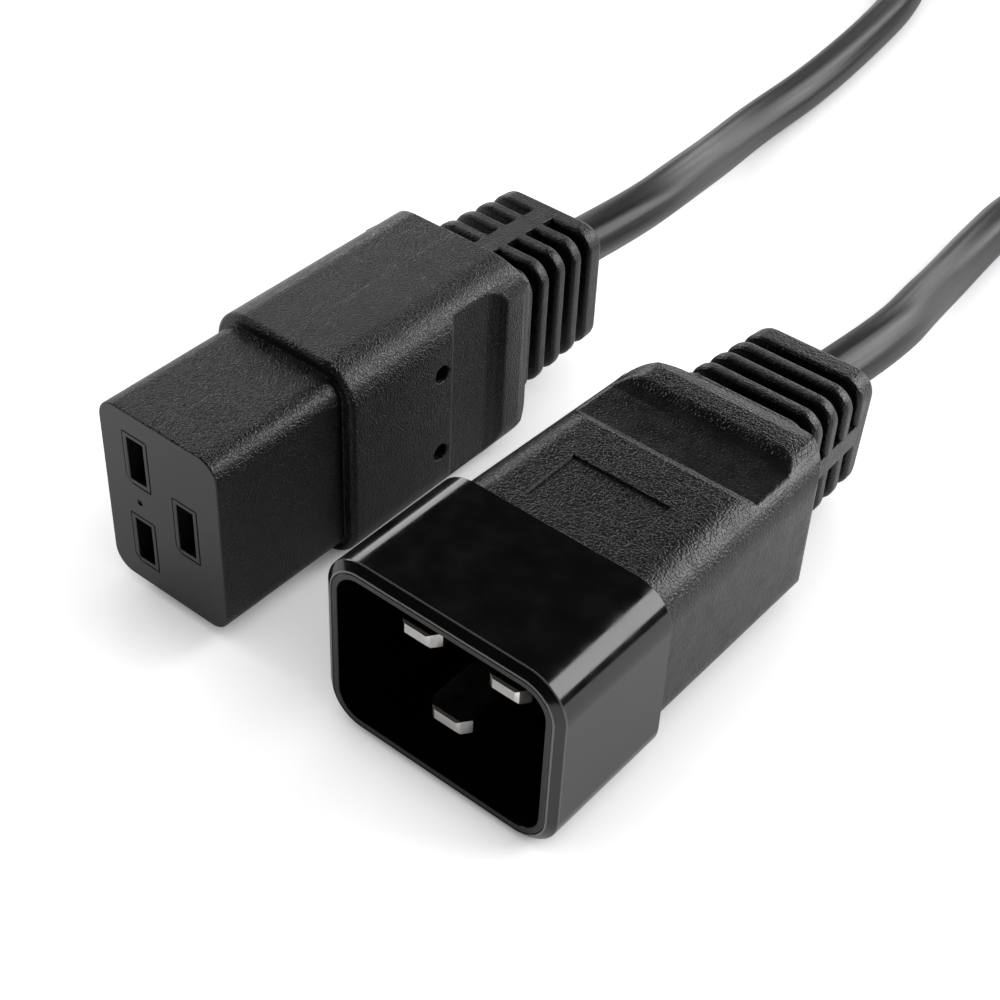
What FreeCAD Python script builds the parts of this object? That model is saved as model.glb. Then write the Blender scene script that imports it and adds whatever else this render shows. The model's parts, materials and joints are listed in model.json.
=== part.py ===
import FreeCAD, Part
import math
import os
import re

import Sketcher

# A moulded power cord: a C19 connector at one end, a C20 plug at the other.
# The connector lies on its narrow side with its mating face towards -Y and its cord leaving along +Y.
# Each moulding is drawn along its own z axis, x the narrow way and y the wide way, and then placed.

SIZES = [
    ("cord_dia", 7.6, "cord over its sheath"),
    ("core_dia", 2.6, "insulated core"),
    ("strand_dia", 1.6, "bare copper bunch"),
    ("core_ring", 3.0, "circle through the three core centres"),
    ("nose_thick", 20.4, "connector nose, narrow way"),
    ("nose_wide", 27.4, "connector nose, wide way"),
    ("nose_long", 21.2, "connector nose, mating face to grip"),
    ("nose_corner", 3.0, "connector nose, corner radius"),
    ("grip_thick", 23.9, "both grips, narrow way"),
    ("grip_wide", 30.9, "connector grip, wide way"),
    ("grip_corner", 5.4, "connector grip, corner radius"),
    ("grip_end", 56.6, "rear of both grips from the mating end"),
    ("grip_lip_share", 0.457, "rounding at the front of the connector grip, as a share of its step from the nose"),
    ("grip_plug_wide", 32.2, "plug grip, wide way"),
    ("grip_plug_corner", 5.6, "plug grip, corner radius"),
    ("grip_plug_wide_rear", 30.9, "plug grip at its rear, wide way"),
    ("grip_plug_lean", 0.65, "how far the rear of the plug grip leans aside"),
    ("scoop_start", 40.2, "front of the finger scoops"),
    ("scoop_bevel", 1.2, "length of the scoops' front slope"),
    ("scoop_deep", 1.15, "depth of the scoops"),
    ("scoop_turn", 48.4, "where the scoop floor starts to rise"),
    ("scoop_end", 51.3, "rear of the finger scoops"),
    ("rear_round", 5.4, "rounding at the rear of the connector's upper narrow side"),
    ("rear_round_low", 6.8, "rounding at the rear of the connector's lower narrow side"),
    ("rear_round_plug", 5.8, "rounding at the rear of the plug's outer narrow side"),
    ("rear_round_plug_in", 8.4, "rounding at the rear of the plug's inner narrow side"),
    ("rear_bevel_long", 2.0, "slope at the rear of the wide faces, along"),
    ("rear_bevel_in", 0.4, "slope at the rear of the wide faces, in"),
    ("vent_dia", 2.5, "small round holes in the connector grip"),
    ("vent_at", 38.1, "small round holes from the mating face"),
    ("vent_spread", 13.0, "small round holes, centre to centre"),
    ("vent_deep", 4.0, "depth of the small round holes"),
    ("relief_sunk", 1.2, "how far the strain relief starts inside the grip"),
    ("relief_end", 76.7, "end of both strain reliefs"),
    ("relief_corner", 3.2, "strain reliefs, corner radius"),
    ("relief_thick_root", 20.2, "strain reliefs at the grip, narrow way"),
    ("relief_thick_tip", 18.0, "strain reliefs at their end, narrow way"),
    ("relief_wide_root", 20.6, "connector relief at the grip, wide way"),
    ("relief_wide_tip", 19.4, "connector relief at its end, wide way"),
    ("relief_plug_wide_root", 20.2, "plug relief at the grip, wide way"),
    ("relief_plug_wide_tip", 18.8, "plug relief at its end, wide way"),
    ("relief_lean_thick", 0.3, "how far the connector relief's end leans, narrow way"),
    ("relief_lean_wide", 0.8, "how far the connector relief's end leans, wide way"),
    ("relief_plug_lean", 0.4, "how far the plug relief leans aside"),
    ("relief_plug_sag", 1.3, "how far the plug relief's end sags"),
    ("relief_plug_tilt", 5.0, "degrees by which the plug relief's end face looks down"),
    ("web_plug_sag", 0.5, "how far the web in the plug relief sags"),
    ("slot_first", 59.8, "front of the first relief slot"),
    ("slot_gap", 1.7, "width of a relief slot"),
    ("slot_pitch", 4.0, "relief slots, one to the next"),
    ("slot_count", 4, "number of relief slots on each side"),
    ("spine_thick", 3.3, "web that joins the ribs"),
    ("sleeve_dia", 10.6, "moulding left round the cord in the slots"),
    ("bore_start", 62.0, "where the sheath is cut back inside"),
    ("row_gap", 8.0, "earth contact to the row of the other two"),
    ("pole_gap", 13.0, "live contact to neutral contact"),
    ("socket_thick", 2.8, "contact openings, narrow way"),
    ("socket_wide", 6.5, "live and neutral openings, wide way"),
    ("socket_wide_earth", 7.2, "earth opening, wide way"),
    ("snout_rim", 0.7, "carrier left round each opening"),
    ("snout_bevel", 0.9, "cut corner of each carrier snout"),
    ("carrier_corner", 1.0, "carrier block, corner radius"),
    ("carrier_front", 2.2, "carrier block from the mating face"),
    ("carrier_end", 19.0, "rear of the carrier block"),
    ("carrier_thick", 15.4, "carrier block, narrow way"),
    ("carrier_wide", 23.0, "carrier block, wide way"),
    ("chamber_play", 0.2, "gap round a contact in its chamber"),
    ("clip_start", 3.2, "front of the female contacts from the mating face"),
    ("clip_thick", 4.2, "female contact, narrow way"),
    ("clip_wide", 7.4, "female contact, wide way"),
    ("clip_long", 13.5, "female contact, its sleeve"),
    ("clip_sheet", 0.5, "sheet that the contacts are folded from"),
    ("clip_corner", 0.9, "female contact, corner radius"),
    ("clip_slit", 0.8, "open seam of the folded sleeve"),
    ("leaf_bite", 0.15, "how far each sprung leaf reaches into a pin's place"),
    ("barrel_dia", 3.0, "crimp barrels, outside"),
    ("barrel_long", 5.0, "crimp barrels"),
    ("barrel_gap", 1.5, "neck between contact and barrel"),
    ("pin_thick", 2.0, "plug pins, narrow way"),
    ("pin_wide", 6.0, "plug pins, wide way"),
    ("pin_back", 3.7, "live and neutral tips behind the rim"),
    ("pin_back_earth", 1.6, "earth tip behind the rim"),
    ("pin_end", 24.0, "rear of the flat pins"),
    ("pin_bevel", 1.1, "cut corners of the pin tips, across"),
    ("pin_bevel_long", 1.4, "cut corners of the pin tips, along"),
    ("pin_edge", 0.3, "small bevel round the pin tips"),
    ("shroud_thick", 26.8, "plug shroud, narrow way"),
    ("shroud_wide", 34.6, "plug shroud, wide way"),
    ("shroud_long", 20.0, "plug shroud, rim to seam"),
    ("shroud_corner", 5.6, "plug shroud, corner radius"),
    ("shroud_wall", 2.2, "plug shroud wall"),
    ("shroud_corner_in", 3.4, "plug cavity, corner radius"),
    ("cavity_deep", 17.5, "plug cavity, rim to floor"),
    ("rim_bevel_in", 0.9, "outer slope of the rim, in"),
    ("rim_bevel_long", 1.1, "outer slope of the rim, along"),
    ("spigot_thick", 17.0, "shroud spigot in the plug moulding, narrow way"),
    ("spigot_wide", 24.0, "shroud spigot in the plug moulding, wide way"),
    ("spigot_long", 3.0, "shroud spigot in the plug moulding, length"),
    ("panel_start", 24.0, "label recess from the rim"),
    ("panel_long", 9.2, "label recess, along the plug"),
    ("panel_wide", 14.4, "label recess, across the plug"),
    ("panel_deep", 0.3, "label recess, depth"),
    ("plug_across", 44.0, "plug axis from the connector axis"),
    ("plug_ahead", 0.2, "plug rim from the mating face"),
    ("coil_across", 20.0, "coil centre from the connector axis"),
    ("coil_along", 282.0, "coil centre from the mating face"),
    ("coil_mid", 38.8, "coil, radius at the middle of its turns"),
    ("coil_spread", 17.1, "outermost turn less innermost turn"),
    ("coil_stub", 29.0, "straight stub at each side of the coil"),
    ("coil_approach", 10.0, "straight run of a lead into its stub"),
    ("tie_thick", 0.5, "coil tie, strap thickness"),
    ("tie_wide", 5.0, "coil tie, strap width"),
]
ALIASES = {name for name, value, note in SIZES}

# The cord's own points, chosen by hand, where it isn't in a moulding or in the coil; y from the mating face.
CONNECTOR_LEAD = [
    (0.6, 97.0, 15.1),
    (-1.5, 113.0, 12.0),
    (-5.4, 129.0, 7.4),
    (-8.2, 146.0, 4.5),
    (-9.6, 166.0, 3.9),
    (-12.6, 189.0, 3.9),
    (-17.0, 211.0, 4.0),
    (-25.0, 232.0, 4.2),
]
PLUG_LEAD = [
    (45.0, 98.0, 12.7),
    (42.8, 111.0, 9.9),
    (39.8, 125.0, 6.1),
    (37.8, 140.0, 4.0),
    (37.6, 156.0, 3.9),
    (42.0, 175.0, 3.9),
    (51.0, 195.0, 4.6),
    (61.0, 214.0, 7.2),
    (66.8, 232.0, 10.4),
]

doc = FreeCAD.newDocument("power_cord")
sheet = doc.addObject("Spreadsheet::Sheet", "Sizes")
for row, (name, value, note) in enumerate(SIZES, start=1):
    sheet.set(f"A{row}", note)
    sheet.set(f"B{row}", str(value))
    sheet.setAlias(f"B{row}", name)
doc.recompute()
VALUES = {name: float(sheet.get(name)) for name in ALIASES}


def formula(text):
    """Point each size's name in a formula at its cell in the sheet."""
    return re.sub(r"[a-z][a-z_]*", lambda word: f"Sizes.{word[0]}" if word[0] in ALIASES else word[0], text)


def worth(text):
    """Add and multiply out a plain formula with the sheet's present values."""
    total = 0.0
    for sign, term in re.findall(r"([+-]?)\s*([a-z_0-9.*/ ]+)", text):
        product = 1.0
        for operator, factor in re.findall(r"([*/]?)\s*([a-z_0-9.]+)", term):
            number = VALUES[factor] if factor in VALUES else float(factor)
            product = product / number if operator == "/" else product * number
        total += -product if sign == "-" else product
    return total


def bind(feature, **formulas):
    """Tie a feature's properties to formulas; a double underscore stands for a dot."""
    for name, text in formulas.items():
        feature.setExpression(name.replace("__", "."), formula(text))


# Sketches and features ------------------------------------------------------------------------------


def new_body(name):
    """A body whose label is the name of its file."""
    body = doc.addObject("PartDesign::Body", name)
    body.Label = name
    return body


def origin_feature(body, role):
    """One of the body's own origin planes or axes."""
    return [feature for feature in body.Origin.OriginFeatures if feature.Role == role][0]


def new_sketch(body, name, plane, lift="0", x="0", y="0"):
    """A sketch on one of the body's own origin planes, lifted along its normal and shifted on it."""
    sketch = body.newObject("Sketcher::SketchObject", name)
    sketch.AttachmentSupport = (origin_feature(body, plane), [""])
    sketch.MapMode = "FlatFace"
    bind(sketch, AttachmentOffset__Base__x=x, AttachmentOffset__Base__y=y, AttachmentOffset__Base__z=lift)
    return sketch


def pin_down(sketch, kind, first, second, text):
    """A named distance that follows a formula."""
    index = sketch.addConstraint(Sketcher.Constraint(kind, *first, *second, worth(text)))
    label = f"size_{index}"
    sketch.renameConstraint(index, label)
    sketch.setExpression(f"Constraints.{label}", formula(text))


def rounded_outline(sketch, across, along, corner):
    """A rectangle with round corners about the sketch's origin."""
    half_x = worth(across) / 2
    half_y = worth(along) / 2
    radius = worth(corner)
    centre_x = half_x - radius
    centre_y = half_y - radius
    first = sketch.GeometryCount
    corners = [(1, -1, -90), (1, 1, 0), (-1, 1, 90), (-1, -1, 180)]
    starts = [(-centre_x, -half_y), (half_x, -centre_y), (centre_x, half_y), (-half_x, centre_y)]
    ends = [(centre_x, -half_y), (half_x, centre_y), (-centre_x, half_y), (-half_x, -centre_y)]
    normal = FreeCAD.Vector(0, 0, 1)
    for (sign_x, sign_y, turn), start, end in zip(corners, starts, ends):
        sketch.addGeometry(Part.LineSegment(FreeCAD.Vector(*start, 0), FreeCAD.Vector(*end, 0)), False)
        centre = FreeCAD.Vector(sign_x * centre_x, sign_y * centre_y, 0)
        circle = Part.Circle(centre, normal, radius)
        arc = Part.ArcOfCircle(circle, math.radians(turn), math.radians(turn + 90))
        sketch.addGeometry(arc, False)
    for side in range(4):
        line = first + 2 * side
        arc = line + 1
        next_line = first + 2 * ((side + 1) % 4)
        sketch.addConstraint(Sketcher.Constraint("Tangent", line, 2, arc, 1))
        sketch.addConstraint(Sketcher.Constraint("Tangent", arc, 2, next_line, 1))
    for side in range(3):
        sketch.addConstraint(Sketcher.Constraint("Equal", first + 1, first + 3 + 2 * side))
    sketch.addConstraint(Sketcher.Constraint("Symmetric", first, 1, first, 2, -2))
    sketch.addConstraint(Sketcher.Constraint("Symmetric", first + 2, 1, first + 2, 2, -1))
    sketch.addConstraint(Sketcher.Constraint("Horizontal", first + 4))
    sketch.addConstraint(Sketcher.Constraint("Vertical", first + 6))
    pin_down(sketch, "DistanceX", (first + 6, 1), (first + 2, 1), across)
    pin_down(sketch, "DistanceY", (first, 1), (first + 4, 1), along)
    pin_down(sketch, "Radius", (first + 1,), (), corner)


def cornered_outline(sketch, points):
    """A closed outline through points given as pairs of formulas."""
    first = sketch.GeometryCount
    spots = [FreeCAD.Vector(worth(x), worth(y), 0) for x, y in points]
    for index, spot in enumerate(spots):
        sketch.addGeometry(Part.LineSegment(spot, spots[(index + 1) % len(spots)]), False)
    for index, (x, y) in enumerate(points):
        before = first + (index - 1) % len(points)
        sketch.addConstraint(Sketcher.Constraint("Coincident", before, 2, first + index, 1))
        pin_down(sketch, "DistanceX", (-1, 1), (first + index, 1), x)
        pin_down(sketch, "DistanceY", (-1, 1), (first + index, 1), y)


def middle_outline(sketch, half_x, half_y):
    """A square-cornered rectangle about the sketch's origin, given by formulas of two half sizes."""
    low_x = " ".join(f"-{term.strip()}" for term in half_x.split("+"))
    low_y = " ".join(f"-{term.strip()}" for term in half_y.split("+"))
    cornered_outline(sketch, [(low_x, low_y), (half_x, low_y), (half_x, half_y), (low_x, half_y)])


def round_outline(sketch, x, y, across):
    """A circle whose centre is given as two formulas."""
    centre = FreeCAD.Vector(worth(x), worth(y), 0)
    circle = Part.Circle(centre, FreeCAD.Vector(0, 0, 1), worth(across) / 2)
    index = sketch.addGeometry(circle, False)
    pin_down(sketch, "DistanceX", (-1, 1), (index, 3), x)
    pin_down(sketch, "DistanceY", (-1, 1), (index, 3), y)
    pin_down(sketch, "Diameter", (index,), (), across)


def pad(body, sketch, length, way="ahead"):
    """Grow a sketch along its normal, back from it, or both ways from it."""
    feature = body.newObject("PartDesign::Pad", f"{sketch.Name}_pad")
    feature.Profile = sketch
    feature.Reversed = way == "back"
    feature.SideType = "Symmetric" if way == "both" else "One side"
    bind(feature, Length=length)
    doc.recompute()
    return feature


def pocket(body, sketch, length=None):
    """Cut a sketch away along the moulding, or right through both ways when no length is given."""
    feature = body.newObject("PartDesign::Pocket", f"{sketch.Name}_cut")
    feature.Profile = sketch
    if length is None:
        feature.Type = "ThroughAll"
        feature.SideType = "Symmetric"
    else:
        feature.Reversed = True
        bind(feature, Length=length)
    before = body.Shape.Volume
    doc.recompute()
    if not feature.Shape.Volume < before - 0.001:
        raise RuntimeError(f"{feature.Name} cuts nothing away")
    return feature


def edges_at(feature, height, beyond_x=0.0, beyond_y=0.0):
    """Names of the edges at one height along the moulding that reach beyond a box about its axis."""
    names = []
    for index, edge in enumerate(feature.Shape.Edges, start=1):
        box = edge.BoundBox
        level = abs(box.ZMin - height) < 1e-4 and abs(box.ZMax - height) < 1e-4
        reach_x = max(-box.XMin, box.XMax)
        reach_y = max(-box.YMin, box.YMax)
        if level and (reach_x > beyond_x or reach_y > beyond_y):
            names.append(f"Edge{index}")
    return names


def dress_edges(body, kind, feature, names, **formulas):
    """Fillet or chamfer the named edges of a feature."""
    dressing = body.newObject(f"PartDesign::{kind}", f"{feature.Name}_{kind.lower()}")
    dressing.Base = (feature, names)
    if kind == "Chamfer" and "Size2" in formulas:
        dressing.ChamferType = "Two distances"
    bind(dressing, **formulas)
    doc.recompute()
    return dressing


def frame_of(end):
    """Where a moulding drawn along z goes: the connector on its narrow side, the plug flat."""
    if end == "connector":
        base = FreeCAD.Vector(0, worth("-relief_end/2"), worth("grip_wide/2"))
        return FreeCAD.Placement(base, FreeCAD.Rotation(FreeCAD.Vector(1, 0, 0), -90))
    base = FreeCAD.Vector(worth("plug_across"), worth("plug_ahead - relief_end/2"), worth("shroud_thick/2"))
    return FreeCAD.Placement(base, FreeCAD.Rotation(FreeCAD.Vector(1, 1, 1), -120))


def set_in_frame(feature, end):
    """Put a moulding in its place and tie that place to the sheet."""
    feature.Placement = frame_of(end)
    if end == "connector":
        bind(feature, Placement__Base__y="-relief_end/2", Placement__Base__z="grip_wide/2")
    else:
        bind(feature, Placement__Base__x="plug_across", Placement__Base__y="plug_ahead - relief_end/2")
        bind(feature, Placement__Base__z="shroud_thick/2")


# Grip and strain relief, alike on both ends ---------------------------------------------------------


def loft(body, name, first, last):
    """A straight taper from one sketch to another."""
    feature = body.newObject("PartDesign::AdditiveLoft", name)
    feature.Profile = first
    feature.Sections = [last]
    feature.Ruled = True
    doc.recompute()
    return feature


def add_relief(body, end):
    """The tapering strain relief, still without its slots."""
    if end == "connector":
        root_at, root_wide = "0", "relief_wide_root"
        tip_down, tip_at, tip_wide = "-relief_lean_thick", "relief_lean_wide", "relief_wide_tip"
    else:
        root_at, root_wide = "relief_plug_lean", "relief_plug_wide_root"
        tip_down, tip_at, tip_wide = "-relief_plug_sag", "relief_plug_lean", "relief_plug_wide_tip"
    root = new_sketch(body, f"{end}_relief_root", "XY_Plane", "grip_end - relief_sunk", "0", root_at)
    rounded_outline(root, "relief_thick_root", root_wide, "relief_corner")
    tip = new_sketch(body, f"{end}_relief_tip", "XY_Plane", "relief_end", tip_down, tip_at)
    rounded_outline(tip, "relief_thick_tip", tip_wide, "relief_corner")
    if end == "plug":
        turned = FreeCAD.Rotation(FreeCAD.Vector(0, -1, 0), worth("relief_plug_tilt"))
        tip.AttachmentOffset = FreeCAD.Placement(tip.AttachmentOffset.Base, turned)
        bind(tip, AttachmentOffset__Rotation__Angle="relief_plug_tilt")
    return loft(body, f"{end}_relief", root, tip)


def cut_scoops(body, end, wide, middle, bends):
    """Finger scoops and the rear slope on the wide faces, and the rounding of the narrow sides."""
    sketch = new_sketch(body, f"{end}_scoops", "XZ_Plane")
    for sign in ("", "-"):
        face = f"{sign}grip_thick/2"
        outside = f"{sign}grip_thick"
        inward = "+" if sign == "-" else "-"
        floor = f"{face} {inward} scoop_deep"
        nearly = f"{face} {inward} 0.55*scoop_deep"
        cornered_outline(
            sketch,
            [
                (face, "scoop_start"),
                (floor, "scoop_start + scoop_bevel"),
                (floor, "scoop_turn"),
                (nearly, "0.62*scoop_end + 0.38*scoop_turn"),
                (face, "scoop_end"),
                (outside, "scoop_end"),
                (outside, "scoop_start"),
            ],
        )
        cornered_outline(
            sketch,
            [
                (face, "grip_end - rear_bevel_long"),
                (f"{face} {inward} rear_bevel_in", "grip_end"),
                (outside, "grip_end"),
                (outside, "grip_end - rear_bevel_long"),
            ],
        )
    pocket(body, sketch)
    sketch = new_sketch(body, f"{end}_rear_round", "YZ_Plane", "0", middle)
    for side, bend in zip((1, -1), bends):
        rounded_corner(sketch, side, f"{wide}/2", "grip_end", bend)
    return pocket(body, sketch)


def rounded_corner(sketch, side, half, rear, radius):
    """What a rounding takes off one rear corner, drawn a little larger on its outside."""
    sign = "" if side == 1 else "-"
    back = "-" if side == 1 else "+"
    reach = worth(half)
    end = worth(rear)
    bend = worth(radius)
    margin = 4.0
    past = "+" if side == 1 else "-"
    spots = [(reach, end - bend), (reach + margin, end - bend), (reach + margin, end), (reach - bend, end)]
    spots = [FreeCAD.Vector(side * x, y, 0) for x, y in spots]
    first = sketch.GeometryCount
    for spot, next_spot in zip(spots, spots[1:]):
        sketch.addGeometry(Part.LineSegment(spot, next_spot), False)
    centre = FreeCAD.Vector(side * (reach - bend), end - bend, 0)
    circle = Part.Circle(centre, FreeCAD.Vector(0, 0, 1), bend)
    low, high = (0.0, math.pi / 2) if side == 1 else (math.pi / 2, math.pi)
    arc = sketch.addGeometry(Part.ArcOfCircle(circle, low, high), False)
    near, far = (1, 2) if side == 1 else (2, 1)
    sketch.addConstraint(Sketcher.Constraint("Coincident", first, 2, first + 1, 1))
    sketch.addConstraint(Sketcher.Constraint("Coincident", first + 1, 2, first + 2, 1))
    sketch.addConstraint(Sketcher.Constraint("Coincident", arc, near, first, 1))
    sketch.addConstraint(Sketcher.Constraint("Coincident", arc, far, first + 2, 2))
    for index, kind in enumerate(("Horizontal", "Vertical", "Horizontal")):
        sketch.addConstraint(Sketcher.Constraint(kind, first + index))
    pin_down(sketch, "Radius", (arc,), (), radius)
    pin_down(sketch, "DistanceX", (-1, 1), (arc, 3), f"{sign}{half} {back} {radius}")
    pin_down(sketch, "DistanceY", (-1, 1), (arc, 3), f"{rear} - {radius}")
    pin_down(sketch, "DistanceX", (-1, 1), (first + 1, 1), f"{sign}{half} {past} {margin}")


def cut_relief_slots(body, end):
    """Slots from both wide faces that leave a web down the middle and a sleeve round the cord."""
    sag = "0" if end == "connector" else "-web_plug_sag"
    sketch = new_sketch(body, f"{end}_slots", "XY_Plane", "slot_first", sag)
    web = worth("spine_thick/2")
    sleeve = worth("sleeve_dia/2")
    reach_x = "relief_thick_root"
    reach_y = "relief_wide_root"
    turn = math.acos(web / sleeve)
    for side in (1, -1):
        first = sketch.GeometryCount
        sign = "" if side == 1 else "-"
        x_in = side * web
        x_out = side * worth(reach_x)
        y_out = worth(reach_y)
        y_in = math.sqrt(sleeve**2 - web**2)
        spots = [(x_in, -y_in), (x_in, -y_out), (x_out, -y_out), (x_out, y_out), (x_in, y_out), (x_in, y_in)]
        spots = [FreeCAD.Vector(*spot, 0) for spot in spots]
        for start, end_spot in zip(spots, spots[1:]):
            sketch.addGeometry(Part.LineSegment(start, end_spot), False)
        circle = Part.Circle(FreeCAD.Vector(0, 0, 0), FreeCAD.Vector(0, 0, 1), sleeve)
        middle = 0.0 if side == 1 else math.pi
        arc = sketch.addGeometry(Part.ArcOfCircle(circle, middle - turn, middle + turn), False)
        for index in range(4):
            sketch.addConstraint(Sketcher.Constraint("Coincident", first + index, 2, first + index + 1, 1))
        low_end, high_end = (1, 2) if side == 1 else (2, 1)
        sketch.addConstraint(Sketcher.Constraint("Coincident", arc, low_end, first, 1))
        sketch.addConstraint(Sketcher.Constraint("Coincident", arc, high_end, first + 4, 2))
        sketch.addConstraint(Sketcher.Constraint("Coincident", arc, 3, -1, 1))
        for index, kind in enumerate(("Vertical", "Horizontal", "Vertical", "Horizontal", "Vertical")):
            sketch.addConstraint(Sketcher.Constraint(kind, first + index))
        pin_down(sketch, "Diameter", (arc,), (), "sleeve_dia")
        pin_down(sketch, "DistanceX", (-1, 1), (first, 2), f"{sign}spine_thick/2")
        pin_down(sketch, "DistanceX", (-1, 1), (first + 4, 1), f"{sign}spine_thick/2")
        pin_down(sketch, "DistanceX", (-1, 1), (first + 2, 1), f"{sign}{reach_x}")
        pin_down(sketch, "DistanceY", (-1, 1), (first, 2), f"-{reach_y}")
        pin_down(sketch, "DistanceY", (-1, 1), (first + 4, 1), reach_y)
    cut = pocket(body, sketch, "slot_gap")
    pattern = body.newObject("PartDesign::LinearPattern", f"{end}_slot_row")
    pattern.Originals = [cut]
    pattern.Direction = (origin_feature(body, "Z_Axis"), [""])
    pattern.Mode = "Spacing"
    bind(pattern, Offset="slot_pitch", Occurrences="slot_count")
    body.Tip = pattern
    doc.recompute()
    return pattern


# Wires inside the mouldings -------------------------------------------------------------------------


def rounded_route(points):
    """Straight runs joined by tangent arcs, each as large as its two runs allow."""
    points = [FreeCAD.Vector(*point) for point in points]
    edges = []
    radii = []
    start = points[0]
    for before, corner, after in zip(points, points[1:], points[2:]):
        back = before - corner
        ahead = after - corner
        turn = math.pi - back.getAngle(ahead)
        setback = 0.45 * min(back.Length, ahead.Length)
        radius = setback / math.tan(turn / 2)
        back.normalize()
        ahead.normalize()
        enter = corner + back * setback
        leave = corner + ahead * setback
        inward = back + ahead
        inward.normalize()
        centre = corner + inward * (radius / math.cos(turn / 2))
        middle = centre - inward * radius
        edges.append(Part.LineSegment(start, enter).toShape())
        edges.append(Part.Arc(enter, middle, leave).toShape())
        radii.append(radius)
        start = leave
    edges.append(Part.LineSegment(start, points[-1]).toShape())
    return Part.Wire(edges), radii


def round_bar(points, across, what):
    """A solid round bar that follows a route, checked against its section times its length."""
    path, radii = rounded_route(points)
    start = FreeCAD.Vector(*points[0])
    heading = FreeCAD.Vector(*points[1]) - start
    circle = Part.Wire(Part.Circle(start, heading, across / 2).toShape())
    bar = path.makePipeShell([circle], True, False)
    expected = math.pi * (across / 2) ** 2 * path.Length
    if abs(bar.Volume / expected - 1) > 0.01:
        raise RuntimeError(f"{what}: volume {bar.Volume:.1f} is not {expected:.1f}")
    print(f"{what}: length {path.Length:.1f}, radii {[round(radius, 1) for radius in radii]}")
    return bar


def poles(end):
    """Each pole's name, its place across the moulding and its core's place in the cord."""
    row = worth("row_gap/2")
    pole = worth("pole_gap/2")
    ring = worth("core_ring/2")
    side = -1 if end == "connector" else 1
    places = {"live": (side * row, pole), "neutral": (side * row, -pole), "earth": (-side * row, 0.0)}
    turns = {"live": 60, "neutral": -60, "earth": 180}
    cores = {}
    for name, (x, y) in places.items():
        angle = math.radians(turns[name])
        cores[name] = (x, y, side * ring * math.cos(angle), ring * math.sin(angle))
    return cores


def add_wires(end, barrel_start, barrel_end):
    """A copper bunch and its insulation for each pole, from its barrel to the cut-back sheath."""
    made = []
    for name, (x, y, core_x, core_y) in poles(end).items():
        sheath = worth("bore_start")
        length = sheath - barrel_end
        bare = [(x, y, barrel_start), (x, y, barrel_end + 0.22 * length)]
        rest = [(core_x, core_y, sheath - 0.3 * length), (core_x, core_y, sheath)]
        covered = [(x, y, barrel_end)] + bare[1:] + rest
        strand = round_bar(bare + rest, worth("strand_dia"), f"{end} {name} strand")
        cover = round_bar(covered, worth("core_dia"), f"{end} {name} core").cut(strand)
        for kind, shape in (("conductor", strand), ("core", cover)):
            feature = doc.addObject("Part::Feature", f"{end}_{name}_{kind}")
            feature.Label = f"{end}_{name}_{kind}"
            feature.Shape = shape
            feature.Placement = frame_of(end)
            made.append(feature)
    return made


def build_bore(end):
    """The space that the cord's sheath fills in a moulding."""
    body = new_body(f"{end}_bore")
    sketch = new_sketch(body, f"{end}_bore_outline", "XY_Plane", "bore_start")
    round_outline(sketch, "0", "0", "cord_dia")
    pad(body, sketch, "relief_end - bore_start")
    set_in_frame(body, end)
    return body


def fuse(name, shapes):
    """One solid of several that touch or overlap."""
    feature = doc.addObject("Part::MultiFuse", name)
    feature.Shapes = shapes
    return feature


def cut(name, base, tool):
    """A base less a tool."""
    feature = doc.addObject("Part::Cut", name)
    feature.Base = base
    feature.Tool = tool
    feature.Label = name
    return feature


def pole_formulas(end):
    """The same places as poles, as formulas."""
    near, far = ("-", "") if end == "connector" else ("", "-")
    return {
        "live": (f"{near}row_gap/2", "pole_gap/2", "socket_wide"),
        "neutral": (f"{near}row_gap/2", "-pole_gap/2", "socket_wide"),
        "earth": (f"{far}row_gap/2", "0", "socket_wide_earth"),
    }


# The connector --------------------------------------------------------------------------------------


def build_connector_blank():
    """Nose, grip and strain relief in one moulding, before what it holds is taken out of it."""
    body = new_body("connector_blank")
    sketch = new_sketch(body, "connector_nose", "XY_Plane")
    rounded_outline(sketch, "nose_thick", "nose_wide", "nose_corner")
    pad(body, sketch, "nose_long")
    sketch = new_sketch(body, "connector_grip", "XY_Plane", "nose_long")
    rounded_outline(sketch, "grip_thick", "grip_wide", "grip_corner")
    grip = pad(body, sketch, "grip_end - nose_long")
    past_nose = 0.5 * (worth("nose_thick/2") + worth("grip_thick/2"))
    past_nose_wide = 0.5 * (worth("nose_wide/2") + worth("grip_wide/2"))
    front = edges_at(grip, worth("nose_long"), past_nose, past_nose_wide)
    dress_edges(body, "Fillet", grip, front, Radius="grip_lip_share*(grip_wide - nose_wide)/2")
    cut_scoops(body, "connector", "grip_wide", "0", ("rear_round_low", "rear_round"))
    add_relief(body, "connector")
    sketch = new_sketch(body, "connector_vents", "YZ_Plane", "grip_thick/2 - vent_deep")
    for sign in ("", "-"):
        round_outline(sketch, f"{sign}vent_spread/2", "vent_at", "vent_dia")
    vents = pocket(body, sketch, "vent_deep")
    mirror = body.newObject("PartDesign::Mirrored", "connector_vents_mirror")
    mirror.Originals = [vents]
    mirror.MirrorPlane = (origin_feature(body, "YZ_Plane"), [""])
    body.Tip = mirror
    doc.recompute()
    cut_relief_slots(body, "connector")
    set_in_frame(body, "connector")
    return body


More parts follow.
